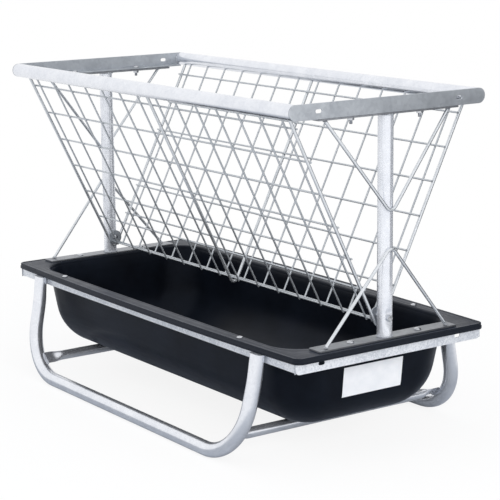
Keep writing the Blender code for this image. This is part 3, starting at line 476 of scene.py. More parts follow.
def circle(radius, sides):
    return arc(0.0, 0.0, radius, 0.0, 2 * pi, sides)[:-1]


def oval(centre, first, second, half_first, half_second, sides):
    return [centre + first * (half_first * x) + second * (half_second * y) for x, y in circle(1.0, sides)]


def round_rows(frames, radius, sides):
    return [oval(point, first, second, radius, radius, sides) for point, first, second, _ in frames]


def solid_rod(path, across, sides=20):
    """Rod with slightly rounded ends."""
    frames = path_frames(path, across)
    rows = round_rows(frames, ROD_RADIUS, sides)
    for number, inwards in ((0, 1), (-1, -1)):
        along = frames[number][3]
        rows[number] = [spot + along * ROD_RADIUS * (inwards * (1 - ROD_TIP)) for spot in rows[number]]
    first, last = round_rows((frames[0], frames[-1]), ROD_RADIUS * ROD_TIP, sides)
    return loft([first, *rows, last])


# Flat steel with softened edges

def rectangle(half_length, half_width):
    return [(-half_length, -half_width), (half_length, -half_width), (half_length, half_width),
            (-half_length, half_width)]


def rounded(half_length, half_width, radius, steps=5):
    points = []
    for number, (x, y) in enumerate(((1, 1), (-1, 1), (-1, -1), (1, -1))):
        points += arc((half_length - radius) * x, (half_width - radius) * y, radius, pi / 2 * number,
                      pi / 2, steps)
    return points


def slot_outline(centre, length, width, steps=10):
    radius, straight = width / 2, (length - width) / 2
    return [point for side in (1, -1)
            for point in arc(centre[0] + side * straight, centre[1], radius, -side * pi / 2, pi, steps)]


def slot_pair(spread, z):
    """Two slots side by side, a hair off one level."""
    return [slot_outline((side * spread, z + side * SLOT_SHIFT), SLOT_LENGTH, SLOT_WIDTH) for side in (-1, 1)]


def plate_shell(outline, holes, thickness, place, edge=PLATE_EDGE):
    """Flat piece with holes and softened edges, drawn in its own plane; returns points and faces."""
    data = bpy.data.curves.new("drawn", "CURVE")
    data.dimensions = "2D"
    data.fill_mode = "BOTH"
    data.extrude = thickness / 2 - edge
    data.bevel_depth = edge
    data.bevel_resolution = 1
    data.offset = -edge
    for points in (outline, *holes):
        spline = data.splines.new("POLY")
        spline.points.add(len(points) - 1)
        for point, (x, y) in zip(spline.points, points):
            point.co = (x, y, 0.0, 1.0)
        spline.use_cyclic_u = True
    mesh = baked_mesh(put("drawn", data))
    mesh.transform(place)
    points = [vertex.co.copy() for vertex in mesh.vertices]
    faces = [tuple(polygon.vertices) for polygon in mesh.polygons]
    bpy.data.meshes.remove(mesh)
    bpy.data.curves.remove(data)
    return points, faces


def flange(half_x, half_y, x, y, level_of_face, upwards, thickness, inset):
    """Flat leg of an angle, thinner by an inset on each face, above its level (upwards 1) or below (-1)."""
    z = level_of_face + upwards * (thickness / 2 + inset)
    return plate_shell(rectangle(half_x, half_y), [], thickness - 2 * inset, Matrix.Translation((x, y, z)))


def upright_plane(end, x):
    """Plate frame for a piece that faces along X: its first direction is Y, its second Z."""
    return Matrix(((0, 0, end, x), (1, 0, 0, 0), (0, 1, 0, 0), (0, 0, 0, 1)))


def eased(outline, radius, steps=3):
    """A closed outline with each corner rounded a little."""
    points = []
    count = len(outline)
    for k in range(count):
        before, corner, after = [Vector((*outline[(k + d) % count], 0.0)) for d in (-1, 0, 1)]
        back, on = (before - corner).normalized(), (after - corner).normalized()
        start, end = corner + back * radius, corner + on * radius
        for number in range(steps + 1):
            share = number / steps
            made = start * (1 - share) ** 2 + corner * (2 * share * (1 - share)) + end * share ** 2
            points.append((made.x, made.y))
    return points


# Trough

CORNER_STEPS = 16
SIDE_STEPS = 24
FLOOR_STEPS = 14
FILM_STEPS = 12
FILM_LIFT = 0.00012


def trough_row(half_length, half_width, corner, z, bow=0.0):
    quarter = arc(half_length - corner, half_width - corner, corner, 0.0, pi / 2, CORNER_STEPS)
    straight = half_length - corner
    back = quarter + [(straight * (1 - 2 * k / SIDE_STEPS), half_width) for k in range(1, SIDE_STEPS)]
    back += [(-x, y) for x, y in reversed(quarter)]
    made = []
    for x, y in back + [(-x, -y) for x, y in back]:
        swell = bow * max(0.0, 1 - (x / half_length) ** 2)
        made.append((x, y + (swell if y > 0 else -swell), z))
    return made


def wall_levels(inset):
    """Depth, half length, half width and corner radius down the wall, for the outside moved in by inset."""
    depth = TROUGH_DEPTH - inset
    end_radius, side_radius = END_FLOOR_RADIUS - inset, SIDE_FLOOR_RADIUS - inset
    downs = [RIM_SHOULDER + inset + k * (depth - side_radius - RIM_SHOULDER - inset) / 4 for k in range(4)]
    downs += [depth - side_radius * (1 - sin(pi / 2 * k / FLOOR_STEPS)) for k in range(FLOOR_STEPS + 1)]
    levels = []
    for down in downs:
        share = down / depth
        end_in, side_in = [radius - sqrt(radius ** 2 - max(0.0, down - depth + radius) ** 2)
                           for radius in (end_radius, side_radius)]
        corner = TROUGH_CORNER + (FLOOR_CORNER - TROUGH_CORNER) * share - (end_in + side_in) / 2
        levels.append((down, TROUGH_HALF_LENGTH - END_DRAFT * share - inset - end_in,
                       TROUGH_HALF_WIDTH - SIDE_DRAFT * share - inset - side_in, corner - inset))
    return levels


def trough():
    """Wall from the floor up inside, over the rim with its bead and stepped lip, and down again outside."""
    inside, outside = [[trough_row(length, width, corner, RIM_HEIGHT - down)
                        for down, length, width, corner in wall_levels(inset)]
                       for inset in (TROUGH_WALL, 0.0)]

    def rim(inset, z):
        return trough_row(RIM_HALF_LENGTH - inset, RIM_HALF_WIDTH - inset, RIM_CORNER - inset, z, RIM_BOW)

    def shoulder(inset, z):
        return trough_row(TROUGH_HALF_LENGTH + inset, TROUGH_HALF_WIDTH + inset, TROUGH_CORNER + inset, z)

    def quarter(count, first=0):
        """Sine and the rest of the cosine over a quarter turn."""
        return [(sin(pi / 2 * k / count), 1 - cos(pi / 2 * k / count)) for k in range(first, count + 1)]

    bead_top = RIM_HEIGHT + RIM_BEAD_HEIGHT
    step = bead_top - LIP_STEP_DEPTH
    bead_inset = LIP_STEP + LIP_EDGE + RIM_BEAD_WIDTH
    under_radius = RIM_SHOULDER - TROUGH_WALL
    rows = inside[::-1]
    rows += [shoulder(RIM_SHOULDER * drop - TROUGH_WALL, RIM_HEIGHT - RIM_SHOULDER * (1 - sine))
             for sine, drop in quarter(6, 1)]
    rows.append(rim(bead_inset + BEAD_FOOT, RIM_HEIGHT))
    rows += [rim(bead_inset - RIM_BEAD_WIDTH * BEAD_RISE_SHARE * k / 5,
                 RIM_HEIGHT + RIM_BEAD_HEIGHT * (1 - cos(pi * k / 5)) / 2) for k in range(6)]
    rows += [rim(LIP_STEP + LIP_EDGE * (1 - sine), bead_top - LIP_EDGE * drop) for sine, drop in quarter(4)]
    rows += [rim(inset, step + rise) for inset, rise in STEP_POINTS]
    rows += [rim(inset, LIP_BOTTOM + rise) for inset, rise in HEM_POINTS]
    rows += [rim(LIP_WALL, RIM_UNDERSIDE), shoulder(under_radius, RIM_UNDERSIDE)]
    rows += [shoulder(under_radius - under_radius * sine, RIM_UNDERSIDE - under_radius * drop)
             for sine, drop in quarter(4, 1)[:-1]]
    made = piece("moulded_trough", [loft(rows + outside)], PLASTIC, ["trough"], TROUGH_CREASE)
    distances = made.data.attributes.new(FROM_EDGE, "FLOAT", "POINT").data
    for vertex, distance in zip(made.data.vertices, distances):
        x, y, z = vertex.co
        edge_y = RIM_HALF_WIDTH + RIM_BOW * max(0.0, 1 - (x / RIM_HALF_LENGTH) ** 2)
        inset = min(RIM_HALF_LENGTH - abs(x), edge_y - abs(y))
        distance.value = min(inset, SIDE_RIM_WIDTH - RIM_SHOULDER) + min(RIM_HEIGHT - z, LIP_DEPTH)


def wall_face(down):
    """Outside of the trough's end wall at a depth below the rim."""
    levels = wall_levels(0.0)
    for (above, x_above, *_), (below, x_below, *_) in zip(levels, levels[1:]):
        if down <= below:
            break
    return x_above + (x_below - x_above) * (down - above) / (below - above)


def decal():
    """Plain film on the right end wall, which it follows."""
    low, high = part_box("blank_decal")
    heights = [high.z + (low.z - high.z) * k / FILM_STEPS for k in range(FILM_STEPS + 1)]
    back, face = [[(wall_face(RIM_HEIGHT - z) + lift, z) for z in heights]
                  for lift in (FILM_LIFT, DECAL_THICKNESS)]
    sides = [[(x, y, z) for x, z in back + face[::-1]] for y in (low.y, high.y)]
    piece("blank_film", [loft(sides)], VINYL, ["blank_decal"])


# Base frame

def long_rail(side, side_name):
    """Light angle: an upright leg inside of the lip, and a flange turned in under the rim."""
    low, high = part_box(f"rail_{side_name}")
    tip = min(abs(low.y), abs(high.y))
    face, root = LONG_RAIL_Y - RAIL_THICKNESS, LONG_RAIL_Y - RAIL_THICKNESS / 2
    leg = [(face, low.z), (LONG_RAIL_Y, low.z), (LONG_RAIL_Y, high.z), (face, high.z)]
    section = eased([(side * y, z) for y, z in leg], LEG_EDGE)
    upright = loft([[(x, y, z) for y, z in section] for x in (-high.x, high.x)])
    half_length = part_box("rail_right_end")[0].x - GAP
    turned_in = flange(half_length, (root - tip) / 2, 0.0, side * (root + tip) / 2, high.z, -1,
                       RAIL_THICKNESS, RAIL_FLANGE_INSET)
    piece(f"long_rail_{side_name}", [upright, turned_in], DIPPED_ANGLE, [f"rail_{side_name}"], PLATE_CREASE)


def end_rail(end, end_name):
    """Angle across the end: a face with rounded lower corners and two slots, and a flange under the rim."""
    low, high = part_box(f"rail_{end_name}_end")
    outline = [(LONG_RAIL_Y, RAIL_TOP), (-LONG_RAIL_Y, RAIL_TOP)]
    for side, start in ((-1, pi), (1, 1.5 * pi)):
        outline += arc(side * (LONG_RAIL_Y - END_RAIL_CORNER), low.z + END_RAIL_CORNER, END_RAIL_CORNER,
                       start, pi / 2, 8)
    root = END_RAIL_X - RAIL_THICKNESS / 2
    face = plate_shell(outline, slot_pair(LONG_RAIL_Y - FRAME_SLOT_INSET, RIM_HEIGHT - FRAME_SLOT_DROP),
                       RAIL_THICKNESS, upright_plane(end, end * root))
    inner = min(abs(low.x), abs(high.x))
    reach = (root - inner) / 2
    turned_in = flange(reach, LONG_RAIL_Y - RAIL_THICKNESS - GAP, end * (inner + reach), 0.0, RAIL_TOP, -1,
                       RAIL_THICKNESS, RAIL_FLANGE_INSET)
    piece(f"end_rail_{end_name}", [face, turned_in], DIPPED_ANGLE, [f"rail_{end_name}_end"], PLATE_CREASE)


SKID_FOOT_HALF = RIM_HALF_LENGTH - SKID_INSET
SKID_TOP_Y = LONG_RAIL_Y + SKID_TOP_OUT
SKID_FOOT_Y = SKID_TOP_Y + (RIM_HEIGHT - TUBE_RADIUS) * tan(SKID_LEAN)
SKID_TOP_HALF = SKID_FOOT_HALF + (RIM_HEIGHT - TUBE_RADIUS) * tan(SKID_RAKE) / cos(SKID_LEAN)
BEND_CENTRE_X = SKID_FOOT_HALF - SKID_BEND / tan(pi / 4 + SKID_RAKE / 2)
BEND_CENTRE_Z = TUBE_RADIUS + SKID_BEND * cos(SKID_LEAN)
TUBE_SIDES = 48
SKID_STEP = 0.008
PRESS_SOFTNESS = 0.0030
LEAST_SINE = 0.001
WRINKLES_FROM, WRINKLES_TO = 0.06, pi / 2 - 0.10
WRINKLE_FADE = 0.2
WRINKLE_PITCH = 0.0125
WRINKLE_HEIGHT = 0.0006
WRINKLE_COUNT = 80
WRINKLE_SEEDS = {-1: 7, 1: 8}
# Shares of the tube's section and depths below its top, for the weld metal that closes it
PLUG_LEVELS = ((0.90, 0.0040), (0.90, 0.0008), (0.80, 0.0004), (0.40, 0.0002))


def smooth_step(share):
    share = min(1.0, max(0.0, share))
    return share * share * (3 - 2 * share)


def wrinkle(turn, heights):
    """Height of the wrinkles at a turn into the bend, on its inner side."""
    along = turn * SKID_BEND / WRINKLE_PITCH
    fade_in = smooth_step((turn - WRINKLES_FROM) / WRINKLE_FADE)
    fade_out = smooth_step((WRINKLES_TO - turn) / WRINKLE_FADE)
    return WRINKLE_HEIGHT * sin(2 * pi * along) * heights[int(along) % WRINKLE_COUNT] * fade_in * fade_out


def skid(side, side_name):
    """Bent tube: its legs are pressed flat against the long rail, and its bends are wrinkled inside."""
    leg_top = LIP_BOTTOM - GAP
    share = (leg_top - TUBE_RADIUS) / (RIM_HEIGHT - TUBE_RADIUS)
    foot, top = [[Vector((end * half, side * y, z)) for end in (-1, 1)]
                 for half, y, z in ((SKID_FOOT_HALF, SKID_FOOT_Y, TUBE_RADIUS),
                                    (SKID_TOP_HALF, SKID_TOP_Y, RIM_HEIGHT))]
    top = [low.lerp(high, share) for low, high in zip(foot, top)]
    path = divided(filleted([top[0], *foot, top[1]], SKID_BEND, 60), SKID_STEP)
    across = Vector((0.0, cos(SKID_LEAN), side * sin(SKID_LEAN)))
    centre_y = side * (SKID_FOOT_Y - SKID_BEND * sin(SKID_LEAN))
    chance = random.Random(WRINKLE_SEEDS[side])
    heights = [chance.uniform(0.5, 1.0) for _ in range(WRINKLE_COUNT)]
    rows = path_frames(path, across)
    shells = []
    for radius in TUBE_RADII:
        made = []
        for number, (point, first, second, along) in enumerate(rows):
            over = TUBE_RADIUS - (side * point.y - LONG_RAIL_Y - GAP) / cos(SKID_LEAN)
            pressed = (over + sqrt(over ** 2 + PRESS_SOFTNESS ** 2)) / 2
            centre = point + across * (side * pressed / 2)
            reach = radius - pressed / 2
            end = 1 if point.x > 0 else -1
            to_centre = Vector((end * BEND_CENTRE_X, centre_y, BEND_CENTRE_Z)) - point
            turn = atan2(abs(point.x) - BEND_CENTRE_X, to_centre.z / cos(SKID_LEAN))
            inside = to_centre.normalized()
            row = []
            for out, high in circle(1.0, TUBE_SIDES):
                straight = 0.0 if abs(high) < LEAST_SINE else pressed * pi / 4 * (1 if high > 0 else -1)
                offset = first * (reach * out) + second * (reach * high + straight)
                spot = centre + offset
                if WRINKLES_FROM < turn < WRINKLES_TO:
                    facing = max(0.0, offset.normalized().dot(inside))
                    spot += inside * (wrinkle(turn, heights) * facing ** 3)
                row.append(spot)
            if number in (0, len(rows) - 1):
                axis = along if along.z > 0 else -along
                row = [spot + axis * ((leg_top - spot.z) / axis.z) for spot in row]
            made.append(row)
        shells.append(made)
    plugs = []
    for row in (shells[0][0], shells[0][-1]):
        heart = sum(row, Vector()) / len(row)
        plugs.append(loft([[heart + (spot - heart) * share - Z * down for spot in row]
                           for share, down in PLUG_LEVELS]))
    piece(f"leg_top_welds_{side_name}", plugs, WELD)
    piece(f"skid_tube_{side_name}", [tube(*shells)], DIPPED_TUBE, [f"skid_{side_name}"])


CRIMP_MOUTH = 0.0006
CRIMP_LIP = 0.0015
CRIMP_STATION = 0.6


def crimp_directions(end):
    """Across the flat of a crimped end, and along it."""
    towards = Vector((end * sin(CROSS_TURN), 0.0, -cos(CROSS_TURN) * cos(SKID_LEAN))).normalized()
    return towards, towards.cross(Y)


def cross_tube(end, end_name):
    """Tube between the skids, with its ends crimped flat."""
    low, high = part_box(f"cross_tube_{end_name}")
    reach = high.y
    towards, flat = crimp_directions(end)
    ends = [reach, reach - CRIMP_LIP, reach - CRIMP_LENGTH * CRIMP_STATION]
    ends += [reach - CRIMP_LENGTH - CRIMP_TAPER * k / 14 for k in range(15)]
    bore = CROSS_RADIUS - CROSS_WALL
    outer, inner = [], []
    for y in (*ends, 0.0, *[-y for y in reversed(ends)]):
        crimp = smooth_step((abs(y) - (reach - CRIMP_LENGTH - CRIMP_TAPER)) / CRIMP_TAPER)
        thick = CROSS_RADIUS + (CRIMP_THICKNESS / 2 - CROSS_RADIUS) * crimp
        wide = CROSS_RADIUS + (CRIMP_WIDTH / 2 - CROSS_RADIUS) * crimp
        narrow = bore + (CRIMP_MOUTH - bore) * crimp
        centre = Vector(((low.x + high.x) / 2, y, (low.z + high.z) / 2))
        outer.append(oval(centre, towards, flat, thick, wide, 40))
        inner.append(oval(centre, towards, flat, narrow, wide - CROSS_WALL, 40))
    piece(f"cross_tube_crimped_{end_name}", [tube(outer, inner)], DIPPED_TUBE, [f"cross_tube_{end_name}"])


# Top ring and end stands

TUBE_STEP = 0.1
ROD_STEP = 0.05
POST_FOOT = 0.012


def top_tube(side, side_name):
    low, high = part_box(f"top_tube_{side_name}")
    path = divided([Vector((x, side * TUBE_Y, RING_HEIGHT)) for x in (low.x, high.x)], TUBE_STEP)
    rows = [round_rows(path_frames(path, Z), radius, TUBE_SIDES) for radius in TUBE_RADII]
    piece(f"ring_tube_{side_name}", [tube(*rows)], DIPPED_TUBE, [f"top_tube_{side_name}"])


def top_angle(end, end_name):
    """Angle across the ring's end: a face with round ends and two slots, and a flange between the tubes."""
    outer = RING_X - ANGLE_THICKNESS / 2
    face = plate_shell(slot_outline((0.0, RING_HEIGHT), 2 * (TUBE_Y + TUBE_RADIUS), 2 * TUBE_RADIUS, 20),
                       slot_pair(TUBE_Y - TOP_SLOT_INSET, RING_HEIGHT), ANGLE_THICKNESS,
                       upright_plane(end, end * outer), TOP_ANGLE_EDGE)
    inner = RING_X - ANGLE_THICKNESS - TOP_FLANGE_REACH
    reach = (outer - inner) / 2
    turned_in = flange(reach, TUBE_Y - TUBE_RADIUS - TOP_FLANGE_CLEAR, end * (inner + reach), 0.0,
                       ANGLE_BOTTOM, 1, ANGLE_THICKNESS, TOP_FLANGE_INSET)
    piece(f"ring_angle_{end_name}", [face, turned_in], STRIP, [f"top_angle_{end_name}"], PLATE_CREASE)


def strap(end_name, level_name):
    low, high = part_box(f"{level_name}_strap_{end_name}")
    outline = rounded((high.x - low.x) / 2, (high.y - low.y) / 2, STRAP_CORNER)
    plate = plate_shell(outline, [], high.z - low.z, Matrix.Translation((low + high) / 2), STRAP_EDGE)
    piece(f"{level_name}_bar_{end_name}", [plate], BAR, [f"{level_name}_strap_{end_name}"], PLATE_CREASE)


def post(end, end_name):
    """Upright tube, pressed in on its outer face round the nut."""
    low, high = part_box(f"post_{end_name}")
    heights = [low.z, low.z + POST_FOOT]
    heights += [BASKET_BOLT_Z + DIMPLE_HALF_HEIGHT * DIMPLE_SPREAD * (k / 14 - 1) for k in range(29)]
    heights += [high.z * (1 - k / 6) + heights[-1] * (k / 6) for k in range(5, -1, -1)]
    shells = []
    for radius in TUBE_RADII:
        rows = []
        for z in heights:
            away = abs(z - BASKET_BOLT_Z) / DIMPLE_HALF_HEIGHT
            pressed = DIMPLE_DEPTH * smooth_step(DIMPLE_SLOPE * (DIMPLE_SPREAD - away))
            flat = radius - pressed - DIMPLE_EDGE
            row = []
            for x, y in circle(radius, TUBE_SIDES):
                if x > flat and pressed > LEAST_PRESS:
                    x = flat + DIMPLE_EDGE * (1 - 1 / (1 + (x - flat) / DIMPLE_EDGE))
                row.append((end * (POST_X + x), y, z))
            rows.append(row)
        shells.append(rows)
    piece(f"stand_tube_{end_name}", [tube(*shells)], DIPPED_POST, [f"post_{end_name}"])


def brace(end, end_name, level_name):
    """Bent rod from the flat bar to the post; returns its two ends."""
    node = f"{level_name}_brace_{end_name}"
    lower = level_name == "lower"
    strap_low, strap_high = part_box(("foot" if lower else "top") + f"_strap_{end_name}")
    climb = 1 if lower else -1
    strap_z = strap_high.z if lower else strap_low.z
    bend_z = RIM_HEIGHT + LOWER_BEND_RISE if lower else RING_HEIGHT - UPPER_BEND_DROP
    spread = strap_high.y - BRACE_INSET
    steep = atan2(abs(bend_z - strap_z), spread)
    foot_z = strap_z + climb * (GAP + ROD_RADIUS * cos(steep))
    half = atan2(spread, abs(bend_z - foot_z))
    corner_z = bend_z + climb * BRACE_BEND * (1 / sin(half) - 1)
    foot_x = POST_X + (strap_high.x - strap_low.x) / 2 - BRACE_END_INSET
    bend_x = POST_X + TUBE_RADIUS + BRACE_CLEAR + ROD_RADIUS
    corners = [Vector((end * x, y, z)) for x, y, z in ((foot_x, -spread, foot_z), (bend_x, 0.0, corner_z),
                                                       (foot_x, spread, foot_z))]
    across = (corners[1] - corners[0]).cross(corners[2] - corners[1]).normalized()
    path = divided(filleted(corners, BRACE_BEND, 12), ROD_STEP)
    piece(f"{level_name}_rod_{end_name}", [solid_rod(path, across)], ROD, [node])
    return corners[0], corners[2]


# Hay rack

WIRE_SIDES = 14
NUGGET_SHARE = 1.05


def rack_line():
    """Where the rack's two sides would meet, and the direction up one side."""
    drop = sqrt(TUBE_RADIUS ** 2 - RACK_SEAT_INSET ** 2)
    seat = Vector((0.0, TUBE_Y - RACK_SEAT_INSET, RING_HEIGHT - drop))
    bottom = RIM_HEIGHT + RACK_BOTTOM_RISE
    half = atan2(seat.y, seat.z - bottom)
    for _ in range(6):
        corner = Vector((0.0, 0.0, bottom - RACK_BEND * (1 / sin(half) - 1)))
        half = atan2(seat.y, seat.z - corner.z)
    return corner, (seat - corner).normalized()


def rack_end(start, up, radius):
    """Where a rod or wire that runs up the rack from start stops against a long tube."""
    axis = Vector((0.0, TUBE_Y, RING_HEIGHT))
    foot = start + up * (axis - start).dot(up)
    aside = max(0.0, (axis - foot).length - radius)
    return foot - up * sqrt(max(0.0, (TUBE_RADIUS + GAP) ** 2 - aside ** 2))


def v_rod(name):
    """Rod bent to a V that carries both sides of the rack."""
    x = middle(f"v_rod_{name}").x
    corner, up = rack_line()
    tip = rack_end(corner, up, ROD_RADIUS)
    corners = [Vector((x, -tip.y, tip.z)), Vector((x, 0.0, corner.z)), Vector((x, tip.y, tip.z))]
    path = divided(filleted(corners, RACK_BEND, 14), ROD_STEP)
    piece(f"rack_rod_{name}", [solid_rod(path, X)], ROD, [f"v_rod_{name}"])


def new_tree(name, **inputs):
    """Geometry node tree with a geometry input and output, and named inputs of the given kinds."""
    tree = bpy.data.node_groups.new(name, "GeometryNodeTree")
    tree.interface.new_socket("Geometry", in_out="OUTPUT", socket_type="NodeSocketGeometry")
    for label, kind in {"Geometry": "Geometry", **inputs, "Finish": "Material"}.items():
        tree.interface.new_socket(label, in_out="INPUT", socket_type=f"NodeSocket{kind}")
    return tree, add(tree, "NodeGroupInput").outputs


def end_tree(tree, given, points, instance, joined=False, **links):
    """Finish a tree with real copies of an instance, which may be joined to what comes in."""
    copies = add(tree, "InstanceOnPoints", Points=points, Instance=instance, **links)
    result = add(tree, "RealizeInstances", Geometry=copies)
    if joined:
        both = add(tree, "JoinGeometry", in0=given["Geometry"])
        feed(tree, both, in0=result)
        result = both
    coloured = add(tree, "SetMaterial", Geometry=result, Material=given["Finish"])
    add(tree, "NodeGroupOutput", Geometry=coloured)
    return tree


def wire_tree():
    """Straight wires side by side, added to what comes in."""
    tree, given = new_tree("wires", Start="Vector", End="Vector", Step="Vector", Count="Int", Radius="Float",
                           Sides="Int")
    line = add(tree, "CurvePrimitiveLine", Start=given["Start"], End=given["End"])
    ring = add(tree, "CurvePrimitiveCircle", Resolution=given["Sides"], Radius=given["Radius"])
    wire = add(tree, "CurveToMesh", Curve=line, Profile_Curve=ring, Fill_Caps=True)
    row = add(tree, "MeshLine", Count=given["Count"], Offset=given["Step"])
    return end_tree(tree, given, row, add(tree, "SetShadeSmooth", Geometry=wire), joined=True)


def weld_tree(name, least, most, along_lines):
    """Uneven drops of weld metal on every point that comes in, or along every line at an even pitch."""
    tree, given = new_tree(name, Radius="Float", Seed="Int", Pitch="Float")
    points = given["Geometry"]
    if along_lines:
        line = add(tree, "MeshToCurve", Mesh=points)
        points = add(tree, "ResampleCurve", {"mode": "LENGTH"}, Curve=line, Length=given["Pitch"])
    drop = add(tree, "MeshIcoSphere", Radius=given["Radius"], Subdivisions=2)
    size = add(tree, "FunctionNodeRandomValue", {"data_type": "FLOAT_VECTOR"}, in0=least, in1=most,
               Seed=given["Seed"])
    return end_tree(tree, given, points, drop, Scale=size)


def copies_tree():
    """A copy of the template on every point that comes in."""
    tree, given = new_tree("copies", Template="Object", Turn="Vector")
    template = add(tree, "ObjectInfo", Object=given["Template"]).outputs["Geometry"]
    return end_tree(tree, given, given["Geometry"], template, Rotation=given["Turn"])


WIRES, COPIES = wire_tree(), copies_tree()
NUGGETS = weld_tree("nuggets", (0.85, 0.85, 0.85), (1.15, 1.15, 1.15), False)
BEADS = weld_tree("beads", (0.80, 0.85, 0.85), (1.20, 1.20, 1.15), True)


def use_tree(made, tree, **values):
    """Add the tree to an object; values name its inputs."""
    modifier = made.modifiers.new(tree.name, "NODES")
    modifier.node_group = tree
    identifiers = {item.name: item.identifier for item in tree.interface.items_tree
                   if item.item_type == "SOCKET" and item.in_out == "INPUT"}
    for label, value in values.items():
        modifier[identifiers[label]] = value


def blank_object(points=(), edges=()):
    mesh = bpy.data.meshes.new("start")
    mesh.from_pydata([tuple(point) for point in points], edges, [])
    return put("start", mesh)


def wire_panel(side, side_name):
    """One side of the rack: inclined wires, with the long wires welded across their inner faces."""
    corner, up = rack_line()
    up = Vector((0.0, side * up.y, up.z))
    inward = Vector((0.0, -side * abs(up.z), abs(up.y)))
    long_offset = ROD_RADIUS + GAP + WIRE_RADIUS
    base = corner + inward * long_offset
    first_run = (RIM_HEIGHT + LOWEST_WIRE_RISE - base.z) / up.z
    low = corner + inward * (long_offset - 2 * WIRE_RADIUS + WELD_SINK) + up * (first_run - WIRE_RADIUS)
    top = rack_end(Vector((0.0, side * low.y, low.z)), Vector((0.0, side * up.y, up.z)), WIRE_RADIUS)
    high = Vector((0.0, side * top.y, top.z))
    across = int(2 * END_ROD_X / WIRE_PITCH) + 1
    along = int(((high - low).length - 3 * WIRE_RADIUS) / WIRE_PITCH) + 1
    places = [X * (-(across - 1) / 2 * WIRE_PITCH) + X * (k * WIRE_PITCH) for k in range(across)]
    lowest = base + up * first_run
    second = lowest + up * WIRE_PITCH
    short, long = X * (CLAMP_FACE - CLAMP_PLATE_THICKNESS - GAP), X * (END_ROD_X + WIRE_OVERHANG)
    made = blank_object()
    for start, stop, step, count in ((low + places[0], high + places[0], X * WIRE_PITCH, across),
                                     (lowest - short, lowest + short, X * 0, 1),
                                     (second - long, second + long, up * WIRE_PITCH, along - 1)):
        use_tree(made, WIRES, Start=start, End=stop, Step=step, Count=count, Radius=WIRE_RADIUS,
                 Sides=WIRE_SIDES, Finish=WIRE)
    declare(f"rack_wires_{side_name}", baked_mesh(made), WIRE, [f"wire_panel_{side_name}"], WIRE_CREASE)
    made = blank_object([lowest + up * (number * WIRE_PITCH) - inward * (WIRE_RADIUS - WELD_SINK / 2) + place
                         for number in range(along) for place in places])
    use_tree(made, NUGGETS, Radius=WIRE_RADIUS * NUGGET_SHARE, Seed=NUGGET_SEED + side, Finish=WIRE)
    declare(f"spot_welds_{side_name}", baked_mesh(made), WIRE, crease=WELD_CREASE)
    return [high + place for place in places]


# Fasteners

NUT_TURN = 0.35
THREAD_PITCH = 0.0015
HEAD_SKIRT = 0.0006
SHANK_CORE = 0.88
SHANK_TIP = 0.80
POLE_SHARE = 0.02
PLAIN_SHANK, PLAIN_SHARE = 0.004, 0.3
HEAD_BEVEL = 0.0002
LATHE_SIDES = 28
NUT_SIDES = 48
CLAMP_SIDES = 48
NUT_CHAMFER = (0.0, 0.0004, 0.0008, 0.0013)
CHAMFER_SHARE, CHAMFER_SLOPE = 0.97, 1.73


def bolt_shell(head, dome, radius, length):
    """Round-headed bolt with its head's flat side at zero and a threaded shank downwards."""
    turns = [pi / 2 * k / 7 for k in range(8)]
    profile = [(head * max(sin(turn), POLE_SHARE), (dome - HEAD_SKIRT) * cos(turn) + HEAD_SKIRT)
               for turn in turns]
    profile += [(head, HEAD_BEVEL), (head * CHAMFER_SHARE, 0.0), (radius, 0.0)]
    z = -min(PLAIN_SHANK, length * PLAIN_SHARE)
    profile.append((radius, z))
    while z > -length + THREAD_PITCH:
        profile += [(radius * SHANK_CORE, z - THREAD_PITCH / 2), (radius, z - THREAD_PITCH)]
        z -= THREAD_PITCH
    profile += [(radius * SHANK_TIP, -length), (radius * POLE_SHARE, -length)]
    return loft([[(x, y, z) for x, y in circle(out, LATHE_SIDES)] for out, z in profile])


def nut_shell(across, thickness, bore):
    """Hexagon nut with chamfered faces, from zero downwards."""
    flat = across / 2
    rows = []
    for z in [-down for down in NUT_CHAMFER] + [down - thickness for down in reversed(NUT_CHAMFER)]:
        cone = flat * CHAMFER_SHARE + min(-z, thickness + z) * CHAMFER_SLOPE
        row = []
        for k in range(NUT_SIDES):
            angle = 2 * pi * k / NUT_SIDES
            radius = min(flat / cos((angle + pi / 6) % (pi / 3) - pi / 6), cone)
            row.append((radius * cos(angle), radius * sin(angle), z))
        rows.append(row)
    return tube(rows, [[(x, y, z) for x, y in circle(bore, NUT_SIDES)] for z in (0.0, -thickness)])


def placed(name, shell, places, turn, nodes):
    """Copies of one fastener at several places, as one piece."""
    template = put("template", shell_mesh("template", [shell]))
    made = blank_object(places)
    use_tree(made, COPIES, Template=template, Turn=turn, Finish=PLATED)
    mesh = baked_mesh(made)
    bpy.data.objects.remove(template, do_unlink=True)
    declare(name, mesh, PLATED, nodes, FASTENER_CREASE)


